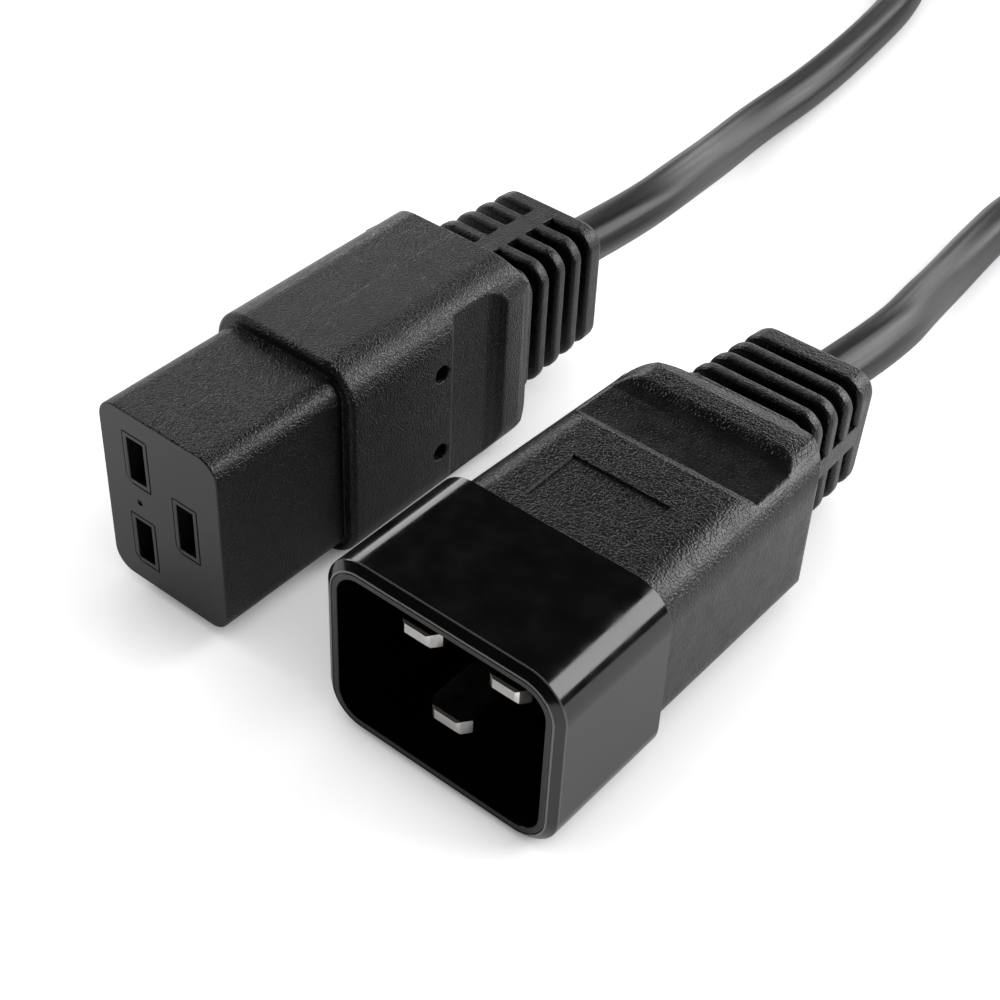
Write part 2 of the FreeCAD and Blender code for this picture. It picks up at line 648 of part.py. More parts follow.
def build_carrier_blank():
    """The carrier's outside: a block behind the face, with a snout to the face round each opening."""
    body = new_body("carrier_blank")
    sketch = new_sketch(body, "carrier_block", "XY_Plane", "carrier_front")
    rounded_outline(sketch, "carrier_thick", "carrier_wide", "carrier_corner")
    pad(body, sketch, "carrier_end - carrier_front")
    for name, (x, y, wide) in pole_formulas("connector").items():
        sketch = new_sketch(body, f"snout_{name}", "XY_Plane", "0", x, y)
        high_x = "socket_thick/2 + snout_rim"
        low_x = "-socket_thick/2 - snout_rim"
        high_y = f"{wide}/2 + snout_rim"
        low_y = f"-{wide}/2 - snout_rim"
        corners = [(low_x, low_y), (high_x, low_y), (high_x, high_y)]
        cut_corner = [(f"{low_x} + snout_bevel", high_y), (low_x, f"{high_y} - snout_bevel")]
        cornered_outline(sketch, corners + cut_corner)
        pad(body, sketch, "carrier_front")
    set_in_frame(body, "connector")
    return body


def build_carrier_hollows():
    """The three openings and the chambers behind them, as one tool."""
    body = new_body("carrier_hollows")
    for name, (x, y, wide) in pole_formulas("connector").items():
        sketch = new_sketch(body, f"chamber_{name}", "XY_Plane", "clip_start", x, y)
        middle_outline(sketch, "clip_thick/2 + chamber_play", "clip_wide/2 + chamber_play")
        pad(body, sketch, "carrier_end - clip_start")
        sketch = new_sketch(body, f"opening_{name}", "XY_Plane", "0", x, y)
        middle_outline(sketch, "socket_thick/2", f"{wide}/2")
        pad(body, sketch, "clip_start")
    set_in_frame(body, "connector")
    return body


def add_crimp(body, stem, x, y, start, neck_low, neck_high):
    """A neck and the crimp barrel behind it."""
    sketch = new_sketch(body, f"{stem}_neck", "XY_Plane", start, x, y)
    low, high = "-barrel_dia/2", "barrel_dia/2"
    cornered_outline(sketch, [(neck_low, low), (neck_high, low), (neck_high, high), (neck_low, high)])
    pad(body, sketch, "barrel_gap")
    sketch = new_sketch(body, f"{stem}_barrel", "XY_Plane", f"{start} + barrel_gap", x, y)
    round_outline(sketch, "0", "0", "barrel_dia")
    round_outline(sketch, "0", "0", "strand_dia")
    pad(body, sketch, "barrel_long")


def build_clip(pole, x, y):
    """A female contact: a folded sleeve with two sprung leaves, open along one seam."""
    name = f"connector_{pole}_contact"
    body = new_body(name)
    sketch = new_sketch(body, f"{pole}_sleeve", "XY_Plane", "clip_start", x, y)
    rounded_outline(sketch, "clip_thick", "clip_wide", "clip_corner")
    inner_corner = "clip_corner - 0.8*clip_sheet"
    rounded_outline(sketch, "clip_thick - 2*clip_sheet", "clip_wide - 2*clip_sheet", inner_corner)
    pad(body, sketch, "clip_long")
    lift = y[1:] if y.startswith("-") else f"-{y}"
    sketch = new_sketch(body, f"{pole}_leaves", "XZ_Plane", lift, x)
    for sign, other in (("", "-"), ("-", "+")):
        wall = f"{sign}clip_thick/2 {other} clip_sheet"
        tip = f"{sign}pin_thick/2 {other} leaf_bite"
        cornered_outline(
            sketch,
            [
                (wall, "clip_start + 0.15*clip_long"),
                (tip, "clip_start + 0.4*clip_long"),
                (tip, "clip_start + 0.5*clip_long"),
                (wall, "clip_start + 0.8*clip_long"),
            ],
        )
    pad(body, sketch, "0.6*clip_wide", "both")
    sketch = new_sketch(body, f"{pole}_seam", "XY_Plane", "clip_start", x, y)
    low, high = "-clip_slit/2", "clip_slit/2"
    wall = "-clip_thick/2 + clip_sheet"
    cornered_outline(sketch, [("-clip_thick", low), (wall, low), (wall, high), ("-clip_thick", high)])
    pocket(body, sketch, "clip_long")
    add_crimp(body, f"{pole}_clip", x, y, "clip_start + clip_long", "strand_dia/2", "clip_thick/2")
    set_in_frame(body, "connector")
    return body


# The plug -------------------------------------------------------------------------------------------


def build_plug_blank():
    """Grip and strain relief behind the shroud, before what they hold is taken out."""
    body = new_body("plug_blank")
    seam = new_sketch(body, "plug_seam", "XY_Plane", "shroud_long")
    rounded_outline(seam, "grip_thick", "grip_plug_wide", "grip_plug_corner")
    rear = new_sketch(body, "plug_rear", "XY_Plane", "grip_end", "0", "grip_plug_lean")
    rounded_outline(rear, "grip_thick", "grip_plug_wide_rear", "grip_plug_corner")
    loft(body, "plug_grip", seam, rear)
    cut_scoops(body, "plug", "grip_plug_wide_rear", "grip_plug_lean", ("rear_round_plug", "rear_round_plug_in"))
    add_relief(body, "plug")
    sketch = new_sketch(body, "plug_panel", "YZ_Plane", "grip_thick/2 - panel_deep")
    low, high = "-panel_wide/2", "panel_wide/2"
    rear = "panel_start + panel_long"
    cornered_outline(sketch, [(low, "panel_start"), (high, "panel_start"), (high, rear), (low, rear)])
    pocket(body, sketch, "panel_deep")
    cut_relief_slots(body, "plug")
    set_in_frame(body, "plug")
    return body


def build_shroud_blank():
    """A deep cup with a bevelled rim and a spigot behind its floor, before the pins go through it."""
    body = new_body("shroud_blank")
    sketch = new_sketch(body, "shroud_cup", "XY_Plane")
    rounded_outline(sketch, "shroud_thick", "shroud_wide", "shroud_corner")
    cup = pad(body, sketch, "shroud_long")
    rim = edges_at(cup, 0.0)
    dress_edges(body, "Chamfer", cup, rim, Size="rim_bevel_in", Size2="rim_bevel_long")
    sketch = new_sketch(body, "shroud_spigot", "XY_Plane", "shroud_long")
    rounded_outline(sketch, "spigot_thick", "spigot_wide", "shroud_corner_in")
    pad(body, sketch, "spigot_long")
    sketch = new_sketch(body, "shroud_cavity", "XY_Plane")
    across = "shroud_thick - 2*shroud_wall"
    rounded_outline(sketch, across, "shroud_wide - 2*shroud_wall", "shroud_corner_in")
    pocket(body, sketch, "cavity_deep")
    set_in_frame(body, "plug")
    return body


def build_pin(pole, x, y):
    """A flat pin with cut tip corners and its crimp barrel."""
    name = f"plug_{pole}_pin"
    body = new_body(name)
    tip = "pin_back_earth" if pole == "earth" else "pin_back"
    half = "pin_wide/2"
    shift = y if y.startswith("-") else f"+{y}"
    sketch = new_sketch(body, f"{pole}_blade", "YZ_Plane", x)
    cornered_outline(
        sketch,
        [
            (f"-{half} {shift}", "pin_end"),
            (f"-{half} {shift}", f"{tip} + pin_bevel_long"),
            (f"-{half} + pin_bevel {shift}", tip),
            (f"{half} - pin_bevel {shift}", tip),
            (f"{half} {shift}", f"{tip} + pin_bevel_long"),
            (f"{half} {shift}", "pin_end"),
        ],
    )
    blade = pad(body, sketch, "pin_thick", "both")
    dress_edges(body, "Chamfer", blade, edges_at(blade, worth(tip)), Size="pin_edge")
    add_crimp(body, f"{pole}_pin", x, y, "pin_end", "-pin_thick/2", "pin_thick/2")
    set_in_frame(body, "plug")
    return body


# The cord -------------------------------------------------------------------------------------------


def build_lead(name, end, points, side, height):
    """The cord from inside one moulding to its stub on the coil."""
    axis = frame_of(end).Base
    face = worth("-relief_end/2")
    inside = (axis.x, axis.y + worth("bore_start"), axis.z)
    outside = (axis.x, axis.y + worth("relief_end"), axis.z)
    stub_x = worth("coil_across") + side * worth("coil_mid + coil_spread/2")
    stub_y = worth("coil_along - coil_stub") + face
    bend = (stub_x, stub_y - worth("coil_approach"), height)
    middle = [(x, y + face, z) for x, y, z in points]
    route = [inside, outside] + middle + [bend, (stub_x, stub_y, height)]
    feature = doc.addObject("Part::Feature", name)
    feature.Label = name
    feature.Shape = round_bar(route, worth("cord_dia"), name)
    return feature


def build_coil():
    """The put-away length: one ring of all its turns, with a stub at each side for the leads."""
    body = new_body("cord_coil")
    sketch = new_sketch(body, "coil_ring", "XY_Plane", "tie_thick", "coil_across", "coil_along - relief_end/2")
    round_outline(sketch, "0", "0", "2*coil_mid + coil_spread + cord_dia")
    round_outline(sketch, "0", "0", "2*coil_mid - coil_spread - cord_dia")
    ring = pad(body, sketch, "2*cord_dia")
    names = [f"Edge{index}" for index, edge in enumerate(ring.Shape.Edges, start=1) if edge.Closed]
    dress_edges(body, "Fillet", ring, names, Radius="0.4*cord_dia")
    for side, sign, lift in (("connector", "-", "0.5"), ("plug", "+", "1.5")):
        sketch = new_sketch(body, f"coil_{side}_stub", "XZ_Plane", "coil_stub + relief_end/2 - coil_along")
        across = f"coil_across {sign} coil_mid {sign} coil_spread/2"
        round_outline(sketch, across, f"tie_thick + {lift}*cord_dia", "cord_dia")
        pad(body, sketch, "coil_stub", "back")
    return body


def build_tie(coil):
    """A strap round all the turns."""
    body = new_body("tie_block")
    middle = "coil_along - coil_mid - relief_end/2"
    sketch = new_sketch(body, "tie_outline", "YZ_Plane", "coil_across", middle, "tie_thick + cord_dia")
    across = "coil_spread + cord_dia + 2*tie_thick"
    rounded_outline(sketch, across, "2*cord_dia + 2*tie_thick", "0.4*cord_dia + tie_thick")
    pad(body, sketch, "tie_wide", "both")
    return cut("coil_tie", body, coil)


# The whole cord set ---------------------------------------------------------------------------------


def build_connector():
    """Every piece of the connector."""
    blank = build_connector_blank()
    carrier = build_carrier_blank()
    clips = [build_clip(pole, x, y) for pole, (x, y, wide) in pole_formulas("connector").items()]
    barrel_start = worth("clip_start + clip_long + barrel_gap")
    wires = add_wires("connector", barrel_start, barrel_start + worth("barrel_long"))
    inside = fuse("connector_inside", [carrier, build_bore("connector")] + clips + wires)
    overmould = cut("connector_overmould", blank, inside)
    holder = cut("contact_carrier", carrier, build_carrier_hollows())
    return [overmould, holder] + clips + wires


def build_plug():
    """Every piece of the plug."""
    blank = build_plug_blank()
    cup = build_shroud_blank()
    pins = [build_pin(pole, x, y) for pole, (x, y, wide) in pole_formulas("plug").items()]
    barrel_start = worth("pin_end + barrel_gap")
    wires = add_wires("plug", barrel_start, barrel_start + worth("barrel_long"))
    inside = fuse("plug_inside", [cup, build_bore("plug")] + pins + wires)
    overmould = cut("plug_overmould", blank, inside)
    shroud = cut("plug_shroud", cup, fuse("plug_pins", pins))
    return [overmould, shroud] + pins + wires


def build_cord():
    """The cord's two leads, its put-away coil and the tie round that."""
    low = worth("tie_thick + 0.5*cord_dia")
    high = worth("tie_thick + 1.5*cord_dia")
    coil = build_coil()
    connector_run = build_lead("cord_connector_run", "connector", CONNECTOR_LEAD, -1, low)
    plug_run = build_lead("cord_plug_run", "plug", PLUG_LEAD, 1, high)
    return [connector_run, coil, plug_run, build_tie(coil)]


pieces = build_connector() + build_plug() + build_cord()
doc.recompute()

for feature in doc.Objects:
    if "Invalid" in feature.State or "Error" in feature.State:
        raise RuntimeError(f"{feature.Name}: {feature.State}")
os.makedirs("parts", exist_ok=True)
for piece in pieces:
    if piece.Shape.isNull() or not piece.Shape.isValid() or len(piece.Shape.Solids) != 1:
        raise RuntimeError(f"{piece.Label}: {len(piece.Shape.Solids)} solids")
    piece.Shape.exportStep(f"parts/{piece.Label}.step")
    box = piece.Shape.BoundBox
    low = [round(value, 1) for value in (box.XMin, box.YMin, box.ZMin)]
    high = [round(value, 1) for value in (box.XMax, box.YMax, box.ZMax)]
    print(f"{piece.Label}: {low} to {high}, {piece.Shape.Volume:.0f} mm3")
print(f"{len(pieces)} pieces")
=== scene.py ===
"""Cord set: a large three-pole appliance connector and its inlet plug, joined by one round cord.

The construction model is loaded as a fixed frame. Each class below dresses one sub-assembly of it:
the connector, the plug, the wires, the cord with its tie, and the studio that they lie in. Lengths are
in metres in the frame of the construction model: X across the pair, Y away from the mating face, Z up.
"""

import json
import logging
import math
from collections.abc import Callable, Sequence
from dataclasses import dataclass, field
from enum import Enum

import bmesh
import bpy
from mathutils import Matrix, Vector
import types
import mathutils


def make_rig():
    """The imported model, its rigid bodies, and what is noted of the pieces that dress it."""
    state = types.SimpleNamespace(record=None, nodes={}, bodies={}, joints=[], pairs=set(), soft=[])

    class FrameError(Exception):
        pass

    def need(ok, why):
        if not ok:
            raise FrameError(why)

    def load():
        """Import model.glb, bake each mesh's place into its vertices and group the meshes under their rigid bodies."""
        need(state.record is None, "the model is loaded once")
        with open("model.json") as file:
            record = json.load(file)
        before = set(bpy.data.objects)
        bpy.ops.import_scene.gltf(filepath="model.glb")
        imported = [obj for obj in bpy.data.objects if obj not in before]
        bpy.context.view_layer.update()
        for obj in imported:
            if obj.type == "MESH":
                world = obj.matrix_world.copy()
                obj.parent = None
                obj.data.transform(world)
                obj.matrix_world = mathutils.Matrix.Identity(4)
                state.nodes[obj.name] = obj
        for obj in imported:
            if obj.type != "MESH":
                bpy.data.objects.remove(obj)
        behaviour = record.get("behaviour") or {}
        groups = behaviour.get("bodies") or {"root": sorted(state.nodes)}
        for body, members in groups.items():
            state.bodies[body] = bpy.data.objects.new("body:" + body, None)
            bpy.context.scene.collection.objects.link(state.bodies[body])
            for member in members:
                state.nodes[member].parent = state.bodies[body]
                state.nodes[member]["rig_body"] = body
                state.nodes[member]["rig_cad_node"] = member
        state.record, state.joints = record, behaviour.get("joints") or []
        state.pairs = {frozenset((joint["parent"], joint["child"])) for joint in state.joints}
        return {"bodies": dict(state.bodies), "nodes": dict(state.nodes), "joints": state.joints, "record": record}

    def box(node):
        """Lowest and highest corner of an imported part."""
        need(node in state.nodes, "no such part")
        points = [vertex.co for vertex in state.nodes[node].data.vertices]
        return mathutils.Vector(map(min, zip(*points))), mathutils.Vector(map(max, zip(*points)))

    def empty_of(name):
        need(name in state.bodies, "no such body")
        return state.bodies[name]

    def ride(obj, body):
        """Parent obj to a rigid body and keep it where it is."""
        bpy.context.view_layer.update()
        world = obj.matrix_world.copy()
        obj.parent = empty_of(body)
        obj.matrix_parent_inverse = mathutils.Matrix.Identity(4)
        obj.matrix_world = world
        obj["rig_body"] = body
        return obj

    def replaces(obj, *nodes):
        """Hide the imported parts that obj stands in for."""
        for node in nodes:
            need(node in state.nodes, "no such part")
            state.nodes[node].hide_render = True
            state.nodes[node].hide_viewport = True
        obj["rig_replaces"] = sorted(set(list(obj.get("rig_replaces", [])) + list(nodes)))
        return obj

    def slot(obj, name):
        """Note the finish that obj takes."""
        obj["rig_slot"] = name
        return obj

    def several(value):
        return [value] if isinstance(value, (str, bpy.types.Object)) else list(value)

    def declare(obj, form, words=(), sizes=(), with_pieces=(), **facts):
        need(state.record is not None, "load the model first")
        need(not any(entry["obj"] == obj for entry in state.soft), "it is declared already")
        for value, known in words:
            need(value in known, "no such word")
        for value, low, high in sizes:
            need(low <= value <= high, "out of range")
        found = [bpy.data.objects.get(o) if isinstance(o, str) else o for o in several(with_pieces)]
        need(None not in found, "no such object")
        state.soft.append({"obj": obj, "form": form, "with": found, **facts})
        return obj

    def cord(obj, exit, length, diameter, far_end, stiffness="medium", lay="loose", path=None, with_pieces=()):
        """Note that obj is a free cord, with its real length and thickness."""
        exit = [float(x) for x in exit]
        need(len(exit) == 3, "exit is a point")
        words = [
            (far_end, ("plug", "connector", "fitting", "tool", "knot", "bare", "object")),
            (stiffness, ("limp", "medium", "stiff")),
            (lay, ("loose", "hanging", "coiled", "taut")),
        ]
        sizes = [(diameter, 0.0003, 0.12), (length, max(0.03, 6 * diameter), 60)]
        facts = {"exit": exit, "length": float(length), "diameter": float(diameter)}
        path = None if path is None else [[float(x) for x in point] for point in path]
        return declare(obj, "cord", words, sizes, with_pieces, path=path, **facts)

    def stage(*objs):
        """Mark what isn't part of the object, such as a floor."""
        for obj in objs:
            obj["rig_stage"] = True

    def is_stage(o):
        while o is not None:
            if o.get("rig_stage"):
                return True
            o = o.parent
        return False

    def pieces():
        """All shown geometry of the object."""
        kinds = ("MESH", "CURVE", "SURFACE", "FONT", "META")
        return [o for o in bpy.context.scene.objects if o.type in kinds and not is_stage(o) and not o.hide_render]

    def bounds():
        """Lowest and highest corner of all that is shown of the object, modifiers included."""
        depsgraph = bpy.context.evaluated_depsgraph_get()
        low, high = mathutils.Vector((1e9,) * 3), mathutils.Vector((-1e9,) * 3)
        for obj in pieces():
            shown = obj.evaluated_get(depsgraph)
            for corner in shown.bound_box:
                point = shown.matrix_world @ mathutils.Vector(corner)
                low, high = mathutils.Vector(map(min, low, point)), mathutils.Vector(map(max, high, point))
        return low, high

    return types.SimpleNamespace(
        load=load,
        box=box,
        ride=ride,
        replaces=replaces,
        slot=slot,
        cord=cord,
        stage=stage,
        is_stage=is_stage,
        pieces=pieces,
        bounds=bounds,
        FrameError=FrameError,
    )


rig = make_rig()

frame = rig.load()
CAD_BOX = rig.bounds()

LOG = logging.getLogger("cord_set")
MM = 0.001
BODY = "root"
POLES = ("live", "neutral", "earth")

Colour = tuple[float, float, float]
Place = tuple[float, float, float]
Range = tuple[float, float]


# ---------------------------------------------------------------- modelling helpers


class Axis(Enum):
    """An axis of the frame, by its index in a coordinate."""

    X = 0
    Y = 1
    Z = 2


def deselect_all() -> None:
    """Leave nothing selected and nothing active."""
    for piece in bpy.context.scene.objects:
        piece.select_set(False)
    bpy.context.view_layer.objects.active = None


def pick(piece: bpy.types.Object) -> None:
    """Select one piece alone and make it the active one.

    Args:
        piece: The piece.
    """
    deselect_all()
    piece.select_set(True)
    bpy.context.view_layer.objects.active = piece


def begin_edit(piece: bpy.types.Object, kind: str = "FACE") -> None:
    """Open a piece in edit mode with nothing selected.

    Args:
        piece: The piece to open.
        kind: What is selected from then on: VERT, EDGE or FACE.
    """
    pick(piece)
    bpy.ops.object.mode_set(mode="EDIT")
    bpy.ops.mesh.select_mode(type=kind)
    bpy.ops.mesh.select_all(action="DESELECT")


def end_edit() -> None:
    """Go back to object mode."""
    bpy.ops.object.mode_set(mode="OBJECT")


def select_faces(piece: bpy.types.Object, wanted: Callable[[Vector, Vector], bool]) -> None:
    """Select faces of the piece that is open in edit mode, by place and normal.

    Args:
        piece: The piece that is open.
        wanted: Says from a face's centre and normal whether it is taken.
    """
    mesh = bmesh.from_edit_mesh(piece.data)
    for face in mesh.faces:
        face.select_set(wanted(face.calc_center_median(), face.normal))
    bmesh.update_edit_mesh(piece.data)


def select_edges(piece: bpy.types.Object, wanted: Callable[[Vector, Vector], bool]) -> None:
    """Select edges of the piece that is open in edit mode, by middle and direction.

    Args:
        piece: The piece that is open.
        wanted: Says from an edge's middle and its direction whether it is taken.
    """
    mesh = bmesh.from_edit_mesh(piece.data)
    for edge in mesh.edges:
        ends = [vertex.co for vertex in edge.verts]
        edge.select_set(wanted((ends[0] + ends[1]) / 2, (ends[1] - ends[0]).normalized()))
    bmesh.update_edit_mesh(piece.data)


def settle(piece: bpy.types.Object) -> None:
    """Put a new piece's place, turn and scale into its mesh."""
    piece.data.transform(piece.matrix_world)
    piece.matrix_world = Matrix.Identity(4)


def apply_modifier(piece: bpy.types.Object, kind: str, **settings: object) -> None:
    """Add a modifier with its settings and apply it.

    Args:
        piece: The piece that is finished.
        kind: The modifier's type, such as BEVEL.
        settings: Values of the modifier's own properties.
    """
    modifier = piece.modifiers.new(kind.title(), kind)
    for name, value in settings.items():
        setattr(modifier, name, value)
    pick(piece)
    bpy.ops.object.modifier_apply(modifier=modifier.name)


def smooth(piece: bpy.types.Object, degrees: float = 32.0) -> None:
    """Shade a piece smoothly, with sharp edges above an angle."""
    pick(piece)
    bpy.ops.object.shade_smooth_by_angle(angle=math.radians(degrees))


def merged_copy(node: str, name: str, joined: float = 0.002 * MM, flat: float = 0.35) -> bpy.types.Object:
    """Copy a CAD node's mesh as a new piece, with its points joined and its flats made whole faces.

    Args:
        node: The CAD node.
        name: The new piece's name.
        joined: The distance below which two points become one.
        flat: The angle in degrees below which neighbouring faces become one.

    Returns:
        The new piece.
    """
    piece = bpy.data.objects.new(name, frame["nodes"][node].data.copy())
    bpy.context.scene.collection.objects.link(piece)
    piece.data.materials.clear()
    pick(piece)
    bpy.ops.mesh.customdata_custom_splitnormals_clear()
    begin_edit(piece)
    bpy.ops.mesh.select_all(action="SELECT")
    bpy.ops.mesh.remove_doubles(threshold=joined)
    bpy.ops.mesh.dissolve_limited(angle_limit=math.radians(flat))
    end_edit()
    return piece


@dataclass(frozen=True)
class Edge:
    """What a rounding is chosen by: an edge's middle, its direction and whether it stands out."""

    place: Vector
    way: Vector
    convex: bool


def ease_edges(
    piece: bpy.types.Object,
    radius_at: Callable[[Edge], float],
    sharper: float = 24.0,
    segments: int = 3,
    clamp: bool = True,
) -> None:
    """Round the sharp edges of a piece, each by a radius that its place gives.

    Args:
        piece: The piece.
        radius_at: The rounding's size in metres for an edge; nothing is rounded where it is 0.
        sharper: The angle in degrees above which an edge is sharp.
        segments: Faces across a rounding.
        clamp: Whether roundings are held back from running into each other.
    """
    mesh = bmesh.new()
    mesh.from_mesh(piece.data)
    weight = mesh.edges.layers.float.get("bevel_weight_edge")
    if weight is None:
        weight = mesh.edges.layers.float.new("bevel_weight_edge")
    radii: dict[int, float] = {}
    for edge in mesh.edges:
        bend = math.degrees(edge.calc_face_angle(0.0)) if len(edge.link_faces) == 2 else 0.0
        if bend > sharper:
            low, high = (vertex.co for vertex in edge.verts)
            facts = Edge((low + high) / 2, (high - low).normalized(), edge.is_convex)
            radii[edge.index] = radius_at(facts)
    widest = max(radii.values(), default=0.0)
    for edge in mesh.edges:
        edge[weight] = radii.get(edge.index, 0.0) / widest if widest else 0.0
    mesh.to_mesh(piece.data)
    mesh.free()
    apply_modifier(
        piece,
        "BEVEL",
        width=widest,
        segments=segments,
        limit_method="WEIGHT",
        use_clamp_overlap=clamp,
        loop_slide=True,
        miter_outer="MITER_ARC",
    )
    smooth(piece)
    apply_modifier(piece, "WEIGHTED_NORMAL", keep_sharp=True, weight=60)


def paint_share(piece: bpy.types.Object, name: str, share_at: Callable[[Vector, Vector], float]) -> None:
    """Store a value from 0 to 1 on a piece's faces, which its material reads.

    Args:
        piece: The piece.
        name: The attribute's name.
        share_at: The value from a face's centre and normal.
    """
    layer = piece.data.attributes.new(name, "FLOAT", "FACE")
    values = [share_at(face.center, face.normal) for face in piece.data.polygons]
    layer.data.foreach_set("value", values)


def add_piece(piece: bpy.types.Object, material: bpy.types.Material, slot: str, *nodes: str) -> None:
    """Dress a piece, let it ride on the object, and say which CAD nodes it stands for.

    Args:
        piece: The piece.
        material: Its material, used where it has none yet.
        slot: The record's material slot.
        nodes: The CAD nodes that it replaces.
    """
    if not piece.data.materials:
        piece.data.materials.append(material)
    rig.ride(piece, BODY)
    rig.slot(piece, slot)
    if nodes:
        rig.replaces(piece, *nodes)
    LOG.info("%s: %d faces, %s", piece.name, len(piece.data.polygons), material.name)


def dress_node(node: str, material: bpy.types.Material) -> None:
    """Give a CAD node that stays in view its own material.

    Args:
        node: The CAD node.
        material: The material.
    """
    piece = frame["nodes"][node]
    if not piece.material_slots:
        piece.data.materials.append(material)
    for place in piece.material_slots:
        place.material = material
    LOG.info("%s: CAD node, %s", node, material.name)


# ---------------------------------------------------------------- finishes


class NodeSheet:
    """One procedural material while its nodes are laid out."""

    def __init__(self, name: str) -> None:
        """Start a material with a plain surface shader.

        Args:
            name: The material's name.
        """
        self.material = bpy.data.materials.new(name)
        self.material.use_nodes = True
        self.tree = self.material.node_tree
        self.tree.nodes.clear()
        self.surface = self.add("ShaderNodeBsdfPrincipled")
        output = self.add("ShaderNodeOutputMaterial")
        self.join(self.surface.outputs["BSDF"], output.inputs["Surface"])
        self.coordinates = self.add("ShaderNodeTexCoord")

    def add(self, kind: str, **settings: object) -> bpy.types.Node:
        """Add a node and set its own properties.

        Args:
            kind: The node's type.
            settings: Values of its properties.

        Returns:
            The node.
        """
        node = self.tree.nodes.new(kind)
        for name, value in settings.items():
            setattr(node, name, value)
        return node

    def join(self, source: bpy.types.NodeSocket, target: bpy.types.NodeSocket) -> None:
        """Link one socket to another."""
        self.tree.links.new(source, target)

    def set(self, **values: object) -> None:
        """Set constants on the surface shader's own sockets, with _ for a space in a name."""
        for name, value in values.items():
            self.surface.inputs[name.replace("_", " ")].default_value = value

    def place(self, scale: Sequence[float] = (1, 1, 1), uv: bool = False) -> bpy.types.NodeSocket:
        """Give a coordinate, stretched by a scale.

        Args:
            scale: How much each axis is multiplied.
            uv: Whether the piece's own UV map is read in place of its own space.

        Returns:
            The coordinate's socket.
        """
        mapping = self.add("ShaderNodeMapping")
        mapping.inputs["Scale"].default_value = scale
        self.join(self.coordinates.outputs["UV" if uv else "Object"], mapping.inputs["Vector"])
        return mapping.outputs["Vector"]

    def noise(
        self, at: bpy.types.NodeSocket, scale: float, detail: float = 2.0, twist: float = 0.0
    ) -> bpy.types.NodeSocket:
        """Add a noise pattern.

        Args:
            at: The coordinate that it reads.
            scale: How many of its lumps lie along a metre, or along one unit of the coordinate.
            detail: How many finer patterns lie in it.
            twist: How far it is distorted.

        Returns:
            The pattern's value.
        """
        node = self.add("ShaderNodeTexNoise")
        node.inputs["Scale"].default_value = scale
        node.inputs["Detail"].default_value = detail
        node.inputs["Distortion"].default_value = twist
        self.join(at, node.inputs["Vector"])
        return node.outputs["Fac"]

    def maths(self, operation: str, first: object, second: object = 0.0) -> bpy.types.NodeSocket:
        """Work out one value from two.

        Args:
            operation: What is done with them.
            first: A socket or a number.
            second: A socket or a number.

        Returns:
            The result's socket.
        """
        node = self.add("ShaderNodeMath", operation=operation)
        for place, value in zip(node.inputs, (first, second)):
            if isinstance(value, (int, float)):
                place.default_value = value
            else:
                self.join(value, place)
        return node.outputs[0]

    def spread(
        self, value: bpy.types.NodeSocket, reach: Range, onto: Range = (0.0, 1.0)
    ) -> bpy.types.NodeSocket:
        """Carry a value from one range to another, held at its ends.

        Args:
            value: The value.
            reach: The range that it comes from.
            onto: The range that it is carried to.

        Returns:
            The result's socket.
        """
        node = self.add("ShaderNodeMapRange")
        for name, number in zip(("From Min", "From Max", "To Min", "To Max"), (*reach, *onto)):
            node.inputs[name].default_value = number
        self.join(value, node.inputs["Value"])
        return node.outputs["Result"]

    def tint(self, value: bpy.types.NodeSocket, low: Colour, high: Colour) -> bpy.types.NodeSocket:
        """Give a colour between two.

        Args:
            value: How much of the second there is, from 0 to 1.
            low: The first colour.
            high: The second.

        Returns:
            The colour's socket.
        """
        node = self.add("ShaderNodeMix", data_type="RGBA")
        node.inputs[6].default_value = (*low, 1.0)
        node.inputs[7].default_value = (*high, 1.0)
        self.join(value, node.inputs[0])
        return node.outputs[2]

    def paint_highlight(self, plain: bpy.types.NodeSocket, pale: Colour) -> bpy.types.NodeSocket:
        """Turn a colour pale where the piece's attribute called edge says that it takes a painted highlight.

        Args:
            plain: The colour elsewhere.
            pale: The colour of the painted highlight.

        Returns:
            The colour's socket.
        """
        node = self.add("ShaderNodeMix", data_type="RGBA")
        node.inputs[7].default_value = (*pale, 1.0)
        self.join(self.attribute("edge"), node.inputs[0])
        self.join(plain, node.inputs[6])
        return node.outputs[2]

    def attribute(self, name: str) -> bpy.types.NodeSocket:
        """Give the value of an attribute that a piece carries."""
        return self.add("ShaderNodeAttribute", attribute_name=name).outputs["Fac"]

    def bump(
        self, height: bpy.types.NodeSocket, depth: float, under: bpy.types.NodeSocket | None = None
    ) -> bpy.types.NodeSocket:
        """Turn a height into a normal.

        Args:
            height: The height, from 0 to 1.
            depth: How deep 1 is, in metres.
            under: A normal that this one lies on.

        Returns:
            The normal's socket.
        """
        node = self.add("ShaderNodeBump")
        node.inputs["Distance"].default_value = depth
        node.inputs["Strength"].default_value = 1.0
        self.join(height, node.inputs["Height"])
        if under is not None:
            self.join(under, node.inputs["Normal"])
        return node.outputs["Normal"]

    def take(self, name: str, source: bpy.types.NodeSocket) -> None:
        """Let one of the surface shader's sockets follow another socket."""
        self.join(source, self.surface.inputs[name])

    def rough_by(
        self, value: bpy.types.NodeSocket, reach: Range, about: float, less: float, more: float
    ) -> None:
        """Let the roughness follow a value.

        Args:
            value: The value.
            reach: The range of it that counts.
            about: The roughness in between.
            less: How far below that it goes.
            more: How far above.
        """
        self.take("Roughness", self.spread(value, reach, (about - less, about + more)))


NOISE_MIDDLE = (0.3, 0.7)
NOISE_UPPER = (0.35, 0.75)


